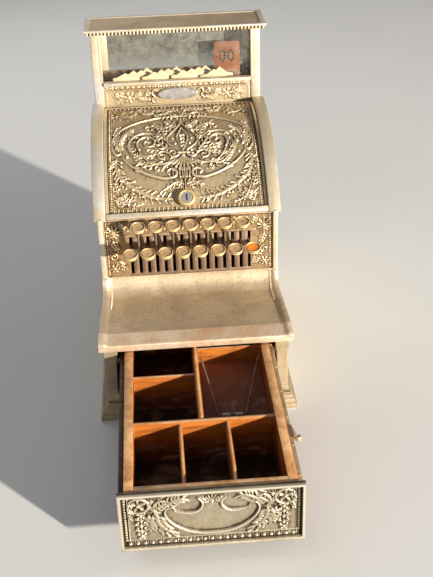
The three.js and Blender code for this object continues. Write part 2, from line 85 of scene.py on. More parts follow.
# ---- curves for the ornament -------------------------------------------------------------
def smooth_line(points, steps=10):
    """A Catmull-Rom curve through points."""
    p = np.asarray(points, float)
    p = np.vstack([2 * p[0] - p[1], p, 2 * p[-1] - p[-2]])
    t = np.linspace(0, 1, steps, endpoint=False)[:, None]
    parts = []
    for a, b, c, d in zip(p, p[1:], p[2:], p[3:]):
        parts.append(0.5 * (2 * b + (c - a) * t + (2 * a - 5 * b + 4 * c - d) * t**2
                            + (3 * b - a - 3 * c + d) * t**3))
    return np.vstack(parts + [p[-2:-1]])


def spiral(centre, outer, start, turns, inner, steps=44):
    """A volute that starts at angle start (degrees) on its outer radius and winds in."""
    t = np.linspace(0, 1, steps)
    radius = outer + (inner - outer) * t**0.8
    angle = np.radians(start + 360 * turns * t)
    return np.stack([centre[0] + radius * np.cos(angle), centre[1] + radius * np.sin(angle)], 1)


def oval(centre, rx, ry, start=0, end=360, steps=90):
    angle = np.radians(np.linspace(start, end, steps))
    return np.stack([centre[0] + rx * np.cos(angle), centre[1] + ry * np.sin(angle)], 1)


def polar(centre, radius, degrees):
    """The point at a distance and angle from a centre."""
    angle = math.radians(degrees)
    return centre[0] + radius * math.cos(angle), centre[1] + radius * math.sin(angle)


def run_of(line):
    """Length along a line at each of its points."""
    return np.concatenate([[0], np.cumsum(np.hypot(*np.diff(line, axis=0).T))])


def between(side, a, b):
    """Two distances from the middle, put on one side of it, lower first."""
    return sorted((side * a, side * b))


def box_blur(field, cells):
    """Three passes of a box filter, close to a Gaussian."""
    for _ in range(3):
        for axis in (0, 1):
            pad = [(0, 0), (0, 0)]
            pad[axis] = (cells + 1, cells)
            total = np.cumsum(np.pad(field, pad, mode="edge"), axis=axis)
            high = np.take(total, range(2 * cells + 1, total.shape[axis]), axis=axis)
            low = np.take(total, range(0, total.shape[axis] - 2 * cells - 1), axis=axis)
            field = (high - low) / (2 * cells + 1)
    return field


class Relief:
    """Cast ornament as a height field in millimetres over a rectangle."""

    def __init__(self, low, high, pitch, fine=1.0):
        self.fine = fine  # narrows every stroke of a delicate casting
        self.low = np.array(low, float)
        self.high = np.array(high, float)
        count = np.maximum(2, np.ceil((self.high - self.low) / pitch).astype(int) + 1)
        self.x = np.linspace(low[0], high[0], count[0])
        self.y = np.linspace(low[1], high[1], count[1])
        self.pitch = pitch
        self.height = np.zeros((count[1], count[0]))

    def window(self, centre_low, centre_high, reach):
        i0, i1 = np.searchsorted(self.x, [centre_low[0] - reach, centre_high[0] + reach])
        j0, j1 = np.searchsorted(self.y, [centre_low[1] - reach, centre_high[1] + reach])
        return slice(j0, j1), slice(i0, i1)

    def stroke(self, points, width, height, taper=(1, 1), groove=0.0):
        """A rounded ridge along points; taper scales its half width from end to end."""
        p = np.asarray(points, float)
        run = run_of(p)
        stops = np.linspace(0, run[-1], len(taper))
        width = width * self.fine
        half = width / 2 * np.interp(run, stops, taper)
        for a, b, wa, wb in zip(p, p[1:], half, half[1:]):
            rows, cols = self.window(np.minimum(a, b), np.maximum(a, b), max(wa, wb))
            if rows.start >= rows.stop or cols.start >= cols.stop:
                continue
            gx, gy = self.x[None, cols] - a[0], self.y[rows, None] - a[1]
            d = b - a
            t = np.clip((gx * d[0] + gy * d[1]) / max(d @ d, 1e-9), 0, 1)
            local = np.maximum(wa + (wb - wa) * t, 0.05)
            q = np.hypot(gx - t * d[0], gy - t * d[1]) / local
            rise = height * np.sqrt(local / (width / 2)) * np.sqrt(np.clip(1 - q * q, 0, 1))
            if groove:
                rise -= groove * np.exp(-((q / 0.3) ** 2)) * (q < 1)
            self.height[rows, cols] = np.maximum(self.height[rows, cols], rise)

    def bead(self, centre, radius, height):
        self.stroke([centre, np.add(centre, 1e-3)], 2 * radius, height)

    def bead_row(self, start, end, pitch, radius, height):
        start, end = np.asarray(start, float), np.asarray(end, float)
        count = max(2, int(round(np.hypot(*(end - start)) / pitch)) + 1)
        for t in np.linspace(0, 1, count):
            self.bead(start + (end - start) * t, radius, height)

    def plate(self, low, high, height):
        """A flat rectangle at a height, between any two opposite corners."""
        rows, cols = self.window(np.minimum(low, high), np.maximum(low, high), 0)
        self.height[rows, cols] = np.maximum(self.height[rows, cols], height)

    def channel(self, low, high, depth):
        """A sunk rectangle, cut below whatever is there."""
        rows, cols = self.window(np.minimum(low, high), np.maximum(low, high), 0)
        self.height[rows, cols] = -depth

    def teardrop(self, base, tip, width, height, groove=0.0):
        self.stroke([base, tip], width, height, taper=(0.35, 0.8, 1, 0.75), groove=groove)

    def fan(self, centre, reach, facing, spread, lobes, height):
        """A shell of lobes round a centre, the middle one longest."""
        for k in range(lobes):
            turn = (k / (lobes - 1) - 0.5) if lobes > 1 else 0
            tip = polar(centre, reach * (1 - 0.9 * turn * turn), facing + spread * turn)
            self.teardrop(centre, tip, max(1.6, reach * 0.26), height, groove=height * 0.25)
        self.bead(centre, reach * 0.16, height)

    def flower(self, centre, radius, petals, height, turn=0.0):
        for k in range(petals):
            tip = polar(centre, radius * 0.8, turn + 360 * k / petals)
            self.teardrop(centre, tip, radius * 0.62, height * 0.85, groove=height * 0.25)
        self.bead(centre, radius * 0.28, height)

    def leaf(self, spine, size, height, lobes=4):
        """An acanthus leaf: a grooved rib with curling lobes on both sides."""
        line = smooth_line(spine, 8)
        self.stroke(line, size * 0.34, height, taper=(0.7, 1, 0.8, 0.35), groove=height * 0.3)
        for k in range(lobes):
            at = int((0.12 + 0.72 * k / lobes) * (len(line) - 2))
            ahead = line[at + 1] - line[at]
            angle = math.atan2(ahead[1], ahead[0])
            reach = size * (0.75 - 0.4 * k / lobes)
            for side in (1, -1):
                out = angle + side * math.radians(62)
                curl = angle + side * math.radians(20)
                mid = line[at] + reach * 0.6 * np.array([math.cos(out), math.sin(out)])
                tip = mid + reach * 0.55 * np.array([math.cos(curl), math.sin(curl)])
                self.stroke(smooth_line([line[at], mid, tip], 4), size * 0.27, height * 0.85,
                            taper=(0.5, 1, 0.45))

    def scroll(self, line, width, height, taper=(1, 0.9, 0.5)):
        """A grooved band, such as a volute or a C-curve."""
        self.stroke(line, width, height, taper=taper, groove=height * 0.28)

    def band(self, points, width, height, taper=(1, 0.9, 0.5)):
        self.scroll(smooth_line(points), width, height, taper)

    def volute(self, centre, outer, start, turns, width, height, inner=1.0):
        self.scroll(spiral(centre, outer, start, turns, inner), width, height)

    def twin(self):
        """The same on the other side of x = 0."""
        self.height = np.maximum(self.height, self.height[:, ::-1])

    def garland(self, spine, size, height, seed):
        """A swag of small leaves and berries along a curve."""
        rng = np.random.default_rng(seed)
        line = smooth_line(spine, 12)
        self.stroke(line, size * 0.5, height * 0.6, taper=(0.5, 1, 1, 0.5))
        step = max(1, int(size * 0.42 / max(0.1, np.hypot(*(line[1] - line[0])))))
        for k in range(0, len(line) - 1, step):
            ahead = line[k + 1] - line[k]
            angle = math.atan2(ahead[1], ahead[0])
            for side in (-1, 1):
                out = angle + side * math.radians(38 + 24 * rng.random())
                reach = size * (0.5 + 0.25 * rng.random())
                tip = line[k] + reach * np.array([math.cos(out), math.sin(out)])
                self.teardrop(line[k], tip, size * 0.3, height, groove=height * 0.2)
            if rng.random() < 0.4:
                self.bead(line[k] + rng.normal(0, size * 0.16, 2), size * 0.16, height * 1.1)

    def finish(self, soften=1, grain=0.05, seed=1, contrast=1.0):
        """Softens the casting, adds its grain and returns for every point, 0 to 1, how worn and lit it is
        painted: low in hollows and at the feet of ridges (patina and painted shade), high on the heights
        (polish and painted highlight).
        """
        field = box_blur(self.height, soften) if soften else self.height
        rng = np.random.default_rng(seed)
        noise = rng.normal(0, 1, field.shape)
        fine = box_blur(noise, 1)
        field = field + grain * fine / fine.std()
        near = box_blur(field, max(1, int(round(1.2 / self.pitch))))
        wide = box_blur(field, max(2, int(round(4.0 / self.pitch))))
        # Painted light: a point lower than its surroundings goes dark (patina and painted shade), a point
        # higher goes bright (polish and painted highlight).
        wear = 0.42 + contrast * (0.34 * (field - near) + 0.2 * (field - wide)) + 0.025 * fine / fine.std()
        self.height = field
        return np.clip(wear, 0, 1)


# ---- meshes --------------------------------------------------------------------------------
RELIEF_EDGE = math.radians(50)  # creases of a casting sharper than this stay sharp


def make_piece(name, verts, faces, material, smooth=True, wear=None):
    """A mesh object from millimetre points; its faces are turned outwards."""
    verts = np.asarray(verts, float) * MM
    mesh = bpy.data.meshes.new(name)
    mesh.from_pydata(verts.tolist(), [], faces)
    mesh.update()
    mesh.calc_loop_triangles()
    tri = np.zeros(len(mesh.loop_triangles) * 3, int)
    mesh.loop_triangles.foreach_get("vertices", tri)
    a, b, c = (verts[tri.reshape(-1, 3)[:, k]] for k in range(3))
    if np.einsum("ij,ij->i", a, np.cross(b, c)).sum() < 0:
        mesh.flip_normals()
    if wear is not None:
        layer = mesh.attributes.new("wear", "FLOAT", "POINT")
        layer.data.foreach_set("value", np.asarray(wear, np.float32))
    mesh.polygons.foreach_set("use_smooth", [smooth] * len(mesh.polygons))
    mesh.materials.append(material)
    piece = bpy.data.objects.new(name, mesh)
    bpy.context.scene.collection.objects.link(piece)
    return piece


def relief_piece(name, relief, place, back, material, grain=0.05, soften=1, seed=1, contrast=1.0):
    """A closed plate whose front is the relief. place(x, y, h) gives the front's points,
    and back(x, y) the two plain back edges, row by row."""
    wear = relief.finish(soften, grain, seed, contrast)
    rows, cols = relief.height.shape
    gx, gy = np.meshgrid(relief.x, relief.y)
    front = np.stack(place(gx, gy, relief.height), -1).reshape(-1, 3)
    ends_x, ends_y = np.meshgrid(relief.x[[0, -1]], relief.y)
    rear = np.stack(back(ends_x, ends_y), -1).reshape(-1, 3)
    at = np.arange(rows * cols).reshape(rows, cols)
    rear_at = rows * cols + np.arange(2 * rows).reshape(rows, 2)
    quads = [np.stack([at[:-1, :-1], at[:-1, 1:], at[1:, 1:], at[1:, :-1]], -1).reshape(-1, 4)]
    quads.append(np.stack([at[1:, 0], rear_at[1:, 0], rear_at[:-1, 0], at[:-1, 0]], -1))
    quads.append(np.stack([at[:-1, -1], rear_at[:-1, 1], rear_at[1:, 1], at[1:, -1]], -1))
    quads.append(np.stack([rear_at[:-1, 0], rear_at[1:, 0], rear_at[1:, 1], rear_at[:-1, 1]], -1))
    faces = np.vstack(quads).tolist()
    faces.append([*at[0, ::-1].tolist(), int(rear_at[0, 0]), int(rear_at[0, 1])])
    faces.append([*at[-1].tolist(), int(rear_at[-1, 1]), int(rear_at[-1, 0])])
    all_wear_and_painted_light = np.concatenate([wear.reshape(-1), np.full(2 * rows, 0.3)])
    piece = make_piece(name, np.vstack([front, rear]), faces, material, wear=all_wear_and_painted_light)
    piece.data.set_sharp_from_angle(angle=RELIEF_EDGE)
    return piece


def upright(ground, back_y, foot, toward=-1):
    """place and back for a relief that stands upright and faces the front, or the back if toward is 1."""
    def place(x, up, height):
        return x, ground + toward * height, foot + up

    def back(x, up):
        return x, np.full_like(x, back_y), foot + up

    return place, back


def bar_mesh(low, high, radius=0.8, segments=2):
    """Vertices and faces of a box with rounded edges."""
    low, high = np.array(low, float), np.array(high, float)
    bm = bmesh.new()
    bmesh.ops.create_cube(bm, size=1)
    for v in bm.verts:
        v.co = Vector(low + (np.array(v.co) + 0.5) * (high - low))
    if radius:
        radius = min(radius, 0.45 * float((high - low).min()))
        bmesh.ops.bevel(bm, geom=bm.edges[:], offset=radius, segments=segments, profile=0.5, affect="EDGES")
    return take(bm)


def take(bm):
    """A bmesh as plain vertices and faces, for joining into a piece."""
    bm.verts.index_update()
    verts = np.array([v.co for v in bm.verts])
    faces = [[v.index for v in f.verts] for f in bm.faces]
    bm.free()
    return verts, faces


def outward(verts, faces):
    """The faces turned so that they enclose a positive volume."""
    v = np.asarray(verts, float)
    v = v - v.mean(0)
    volume = sum(np.dot(v[f[0]], np.cross(v[f[k]], v[f[k + 1]])) for f in faces
                 for k in range(1, len(f) - 1))
    return faces if volume > 0 else [f[::-1] for f in faces]


def merge(parts):
    """Several (vertices, faces) pairs as one."""
    verts, faces, base = [], [], 0
    for v, f in parts:
        verts.append(np.asarray(v, float))
        faces += [[i + base for i in face] for face in outward(v, f)]
        base += len(v)
    return np.vstack(verts), faces


def extruded(outline, start, end, axis, radius=0.0, segments=2):
    """An outline pushed along X (outline in y, z), Y (x, z) or Z (x, y), with rounded rims."""
    bm = bmesh.new()
    spread = {"X": lambda p: (start, p[0], p[1]), "Y": lambda p: (p[0], start, p[1]),
              "Z": lambda p: (p[0], p[1], start)}
    base = [bm.verts.new(spread[axis](p)) for p in outline]
    face = bm.faces.new(base)
    moved = bmesh.ops.extrude_face_region(bm, geom=[face])
    shift = Vector(((end - start) * (axis == "X"), (end - start) * (axis == "Y"),
                    (end - start) * (axis == "Z")))
    top = [g for g in moved["geom"] if isinstance(g, bmesh.types.BMVert)]
    bmesh.ops.translate(bm, verts=top, vec=shift)
    bmesh.ops.recalc_face_normals(bm, faces=bm.faces)
    if radius:
        rims = [e for e in bm.edges if len(e.link_faces) == 2 and e.calc_face_angle(0) > math.radians(30)]
        bmesh.ops.bevel(bm, geom=rims, offset=radius, segments=segments, profile=0.5, affect="EDGES",
                        clamp_overlap=True)
    return take(bm)


def turned(profile, centre, axis, sides=40):
    """A solid of revolution; the profile of (radius, height) starts and ends on the axis
    or closes on itself. axis is the direction of its height."""
    centre, axis = Vector(centre), Vector(axis).normalized()
    turn = axis.to_track_quat("Z", "Y")
    verts, faces, ring_at = [], [], []
    for r, h in profile:
        ring_at.append(len(verts))
        count = 1 if r < 1e-6 else sides
        for k in range(count):
            a = 2 * math.pi * k / sides
            verts.append(centre + turn @ Vector((r * math.cos(a), r * math.sin(a), h)))
    sizes = [1 if r < 1e-6 else sides for r, _ in profile]
    pairs = list(zip(range(len(profile)), range(1, len(profile))))
    if sizes[0] > 1:
        pairs.append((len(profile) - 1, 0))
    for p, q in pairs:
        for k in range(sides):
            n = (k + 1) % sides
            a, b = ring_at[p] + (k if sizes[p] > 1 else 0), ring_at[p] + (n if sizes[p] > 1 else 0)
            c, d = ring_at[q] + (n if sizes[q] > 1 else 0), ring_at[q] + (k if sizes[q] > 1 else 0)
            face = [v for i, v in enumerate((a, b, c, d)) if v not in (a, b, c, d)[:i]]
            if len(face) > 2:
                faces.append(face)
    return np.array(verts), faces


def tube(points, radius, sides=10):
    """A round wire along points, closed at both ends."""
    p = [Vector(q) for q in points]
    verts = []
    side = None
    for k, at in enumerate(p):
        ahead = (p[min(k + 1, len(p) - 1)] - p[max(k - 1, 0)]).normalized()
        if side is None:
            side = ahead.orthogonal().normalized()
        side = (side - ahead * side.dot(ahead)).normalized()
        up = ahead.cross(side)
        for s in range(sides):
            a = 2 * math.pi * s / sides
            verts.append(at + radius * (math.cos(a) * side + math.sin(a) * up))
    return np.array(verts), swept_faces(len(p), sides)


def mitred(inner_x, inner_y, middle_y, profile):
    """A moulding of (offset, z) swept round a rectangle; the profile closes on itself."""
    verts, faces = [], []
    n = len(profile)
    for sx, sy in ((1, 1), (-1, 1), (-1, -1), (1, -1)):
        verts += [(sx * (inner_x + o), middle_y + sy * (inner_y + o), z) for o, z in profile]
    for c in range(4):
        for k in range(n):
            m = (k + 1) % n
            faces.append([c * n + k, (c + 1) % 4 * n + k, (c + 1) % 4 * n + m, c * n + m])
    return np.array(verts), faces


def swept_faces(rings, n):
    """Faces of a solid whose rings of n points follow each other, closed at both ends."""
    faces = []
    for k in range(rings - 1):
        for s in range(n):
            t = (s + 1) % n
            faces.append([k * n + s, k * n + t, (k + 1) * n + t, (k + 1) * n + s])
    return faces + [list(range(n))[::-1], [(rings - 1) * n + s for s in range(n)]]


def piece_of(name, parts, material, body, nodes=(), angle=35):
    """Joins parts into one riding piece that stands for CAD nodes."""
    verts, faces = merge(parts)
    piece = make_piece(name, verts, faces, material)
    piece.data.set_sharp_from_angle(angle=math.radians(angle))
    return settle(piece, body, nodes)


def settle(piece, body, nodes=()):
    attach(piece, body)
    if nodes:
        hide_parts(*nodes)
    return piece


# ---- materials -------------------------------------------------------------------------------
class Shade:
    """A short way to write a node tree round one Principled shader."""

    def __init__(self, name, metallic=0.0, roughness=0.5):
        self.material = bpy.data.materials.new(name)
        self.material.use_nodes = True
        self.tree = self.material.node_tree
        self.shader = self.tree.nodes["Principled BSDF"]
        self.shader.inputs["Metallic"].default_value = metallic
        self.shader.inputs["Roughness"].default_value = roughness
        self.place = self.add("ShaderNodeTexCoord").outputs["Object"]

    def add(self, kind, **inputs):
        node = self.tree.nodes.new(kind)
        for key, value in inputs.items():
            self.feed(node.inputs[key.replace("_", " ")], value)
        return node

    def feed(self, socket, value):
        if isinstance(value, bpy.types.NodeSocket):
            self.tree.links.new(value, socket)
        else:
            socket.default_value = value

    def noise(self, scale, detail=3.0, rough=0.55, stretch=None, warp=0.0):
        vector = self.place
        if stretch is not None:
            mapping = self.add("ShaderNodeMapping", Vector=vector, Scale=stretch)
            vector = mapping.outputs["Vector"]
        node = self.add("ShaderNodeTexNoise", Vector=vector, Scale=scale, Detail=detail, Roughness=rough,
                        Distortion=warp)
        return node.outputs["Fac"]

    def wear(self):
        node = self.add("ShaderNodeAttribute")
        node.attribute_name = "wear"
        return node.outputs["Fac"]

    def edge(self, radius=0.0012):
        """Near 1 along rims and corners, 0 on flat ground."""
        bevel = self.add("ShaderNodeBevel", Radius=radius)
        bevel.samples = 4
        node = self.add("ShaderNodeVectorMath")
        node.operation = "DOT_PRODUCT"
        self.feed(node.inputs[0], bevel.outputs["Normal"])
        self.feed(node.inputs[1], self.add("ShaderNodeNewGeometry").outputs["Normal"])
        return self.span(node.outputs["Value"], 0.99, 0.8)

    def upward(self):
        """How far the surface faces up, -1 to 1."""
        normal = self.add("ShaderNodeNewGeometry").outputs["Normal"]
        return self.add("ShaderNodeSeparateXYZ", Vector=normal).outputs["Z"]

    def level(self):
        """Height above the floor, in metres, at rest."""
        return self.add("ShaderNodeSeparateXYZ", Vector=self.place).outputs["Z"]

    def ramp(self, fac, stops):
        node = self.add("ShaderNodeValToRGB", Fac=fac)
        ramp = node.color_ramp
        while len(ramp.elements) < len(stops):
            ramp.elements.new(0.5)
        for element, (at, colour) in zip(ramp.elements, stops):
            element.position = at
            element.color = (*colour, 1) if len(colour) == 3 else colour
        return node.outputs["Color"]

    def span(self, fac, low, high, out_low=0.0, out_high=1.0):
        node = self.add("ShaderNodeMapRange", Value=fac)
        node.clamp = True
        values = (low, high, out_low, out_high)
        for key, value in zip(("From Min", "From Max", "To Min", "To Max"), values):
            node.inputs[key].default_value = value
        return node.outputs["Result"]

    def math(self, kind, a, b=0.5):
        node = self.add("ShaderNodeMath")
        node.operation = kind
        self.feed(node.inputs[0], a)
        self.feed(node.inputs[1], b)
        return node.outputs["Value"]

    def mix(self, fac, a, b, kind="MIX"):
        node = self.add("ShaderNodeMix")
        node.data_type = "RGBA"
        node.blend_type = kind
        self.feed(node.inputs["Factor"], fac)
        for socket, colour in ((node.inputs[6], a), (node.inputs[7], b)):
            self.feed(socket, (*colour, 1) if isinstance(colour, tuple) else colour)
        return node.outputs[2]

    def bump(self, height, strength, distance):
        return self.add("ShaderNodeBump", Height=height, Strength=strength,
                        Distance=distance).outputs["Normal"]

    def done(self, colour, roughness=None, normal=None):
        for key, value in (("Base Color", colour), ("Roughness", roughness), ("Normal", normal)):
            if value is not None:
                self.feed(self.shader.inputs[key], value)
        return self.material


def scaled(colour, factor):
    return tuple(min(1, c * factor) for c in colour)


def smooth_brass(name, light, mid, stain, speckle=0.5, tint_and_reflection=None):
    """Worn plain brass: cloudy tone, dark specks in the surface, pale rubbed edges."""
    s = Shade(name, metallic=0.55, roughness=0.42)
    cloud = s.noise(26, 4, 0.6, warp=0.6)
    colour = s.ramp(cloud, [(0.3, mid), (0.68, light)])
    # The tint lies in random patches: on the lip it is the orange of worn copper, on the rails a painted
    # reflection of a pale sky.
    if tint_and_reflection is not None:
        colour = s.mix(s.span(s.noise(14, 3, 0.6), 0.46, 0.64, 0, 0.75), colour, tint_and_reflection)
    specks = s.span(s.noise(520, 3, 0.6), 0.56, 0.68, 0, speckle)
    colour = s.mix(specks, colour, stain)
    blots = s.span(s.noise(70, 5, 0.7, warp=1.2), 0.6, 0.76, 0, speckle)
    colour = s.mix(blots, colour, stain)
    rubbed = s.math("MULTIPLY", s.edge(), s.span(s.noise(110, 4, 0.6), 0.35, 0.6, 0.1, 0.75))
    colour = s.mix(rubbed, colour, scaled(light, 1.25))
    rough = s.span(s.noise(180, 4), 0.3, 0.75, 0.44, 0.66)
    normal = s.bump(s.noise(900, 4, 0.7), 0.3, 0.0003)
    return s.done(colour, rough, normal)


def cast_brass(name, deep, ground, field, bright):
    """Ornamental casting: patina and painted shade darken the hollows, and handling polish and painted
    highlight brighten the heights.
    """
    s = Shade(name, metallic=0.6, roughness=0.45)
    wear = s.math("ADD", s.wear(), s.span(s.noise(60, 4, 0.65), 0.3, 0.7, -0.07, 0.07))
    # deep stands for patina and painted shade in the hollows, bright for polish and painted highlight on
    # the heights
    colour = s.ramp(wear, [(0.12, deep), (0.34, ground), (0.55, field), (0.85, bright)])
    cloud = s.span(s.noise(16, 3, 0.6, warp=0.5), 0.42, 0.7, 0, 0.4)
    colour = s.mix(cloud, colour, ground, "SOFT_LIGHT")
    rough = s.span(wear, 0.25, 0.8, 0.62, 0.33)
    normal = s.bump(s.noise(1100, 3, 0.7), 0.2, 0.0003)
    return s.done(colour, rough, normal)


def varnished_wood(name, along, light, dark, worn, dirt=0.0):
    """Orange-brown varnished wood; along is the grain's axis, and edges are rubbed pale.
    Painted shade darkens it towards its foot; its upward faces high up get rubbing and painted light.
    """
    s = Shade(name, metallic=0.0, roughness=0.45)
    stretch = [34.0, 34.0, 34.0]
    stretch["XYZ".index(along)] = 2.6
    grain = s.noise(5.5, 6, 0.62, stretch=stretch, warp=0.9)
    colour = s.ramp(grain, [(0.3, dark), (0.52, light), (0.75, scaled(light, 1.2))])
    fine = s.noise(30, 3, 0.6, stretch=stretch)
    colour = s.mix(s.span(fine, 0.5, 0.75, 0, 0.35), colour, dark)
    stains = s.span(s.noise(24, 5, 0.7, warp=1.0), 0.5, 0.7, 0, 0.55 + dirt * 0.4)
    colour = s.mix(stains, colour, scaled(dark, 0.45))
    height = s.level()
    # Painted shade: the colour darkens towards the floor, from 10 cm down to 5 cm above it, as the drawer's
    # insides lie in shadow; depth is this mask.
    depth = s.math("MULTIPLY", s.span(height, 0.05, 0.1, 0.96, 0.06),
                   s.span(s.noise(45, 4, 0.6), 0.3, 0.6, 0.8, 1))
    colour = s.mix(depth, colour, scaled(dark, 0.4))
    low_band = s.math("MULTIPLY", s.span(height, 0.066, 0.05), s.span(height, 0.036, 0.042))
    scraped = s.span(s.noise(13, 6, 0.72, stretch=[2.2, 2.2, 7.0], warp=0.6), 0.52, 0.63, 0, 0.75)
    colour = s.mix(s.math("MULTIPLY", low_band, scraped), colour, (0.46, 0.33, 0.24))
    # Upward faces high on the boards take the pale worn colour in patches: partly rubbing, partly painted
    # light on the tops.
    rubbed = s.span(s.noise(38, 5, 0.65, warp=0.8), 0.36, 0.62, 0.25, 1)
    top = s.math("MULTIPLY", s.span(s.upward(), 0.7, 0.95), rubbed)
    colour = s.mix(s.math("MULTIPLY", top, s.span(height, 0.055, 0.085)), colour, worn)
    rubbed = s.math("MULTIPLY", s.edge(), s.span(s.noise(60, 4, 0.6), 0.35, 0.6, 0.15, 0.9))
    colour = s.mix(rubbed, colour, scaled(worn, 1.15))
    rough = s.span(grain, 0.3, 0.7, 0.32, 0.6)
    normal = s.bump(fine, 0.25, 0.0004)
    return s.done(colour, rough, normal)


def plain_metal(name, colour, shadow, roughness=0.35, metallic=0.85, grit=0.3):
    s = Shade(name, metallic=metallic, roughness=roughness)
    tone = s.ramp(s.noise(140, 4, 0.6), [(0.35, shadow), (0.65, colour)])
    tone = s.mix(s.span(s.noise(420, 3, 0.6), 0.55, 0.7, 0, grit), tone, scaled(shadow, 0.4))
    rough = s.span(s.noise(300, 3), 0.3, 0.7, roughness * 0.75, min(1, roughness * 1.4))
    return s.done(tone, rough, s.bump(s.noise(700, 3), 0.12, 0.0002))


def enamel(name, colour, worn, fade=None):
    """Painted tin with scuffs; fade is (colour, low z, high z) for paint bleached towards its foot."""
    s = Shade(name, metallic=0.0, roughness=0.5)
    tone = s.ramp(s.noise(90, 4, 0.6), [(0.3, scaled(colour, 0.86)), (0.7, colour)])
    scuffs = s.span(s.noise(210, 5, 0.7, warp=0.8), 0.56, 0.7, 0, 0.7)
    tone = s.mix(scuffs, tone, worn)
    if fade:
        pale, low, high = fade
        height = s.level()
        share = s.math("ADD", s.span(height, low * MM, high * MM, 1, 0),
                       s.span(s.noise(120, 4), 0.3, 0.7, -0.3, 0.3))
        tone = s.mix(s.span(share, 0.25, 0.9, 0, 0.85), tone, pale)
    return s.done(tone, s.span(s.noise(260, 3), 0.3, 0.7, 0.4, 0.65), s.bump(s.noise(500, 3), 0.1, 0.0002))


def dusty_glass(name, thin, thick, dark, light):
    """Old window glass: a film of grey dust with scratches and lint, thinner near the sill."""
    s = Shade(name, metallic=0.0, roughness=0.25)
    dust = s.noise(70, 6, 0.75, warp=0.7)
    specks = s.span(s.noise(480, 3, 0.7), 0.6, 0.72)
    height = s.level()
    film = s.math("ADD", s.span(dust, 0.35, 0.7, thin, thick), s.math("MULTIPLY", specks, 0.2))
    film = s.math("MULTIPLY", film, s.span(height, 0.350, 0.385, 0.3, 1.0))
    colour = s.ramp(dust, [(0.3, dark), (0.72, light)])
    s.feed(s.shader.inputs["Alpha"], film)
    return s.done(colour, s.span(dust, 0.3, 0.7, 0.2, 0.5))


def dark_print(name, colour):
    s = Shade(name, roughness=0.6)
    worn = s.span(s.noise(800, 3, 0.7), 0.35, 0.7)
    return s.done(s.mix(worn, colour, tuple(min(1, c * 2.4 + 0.03) for c in colour)))


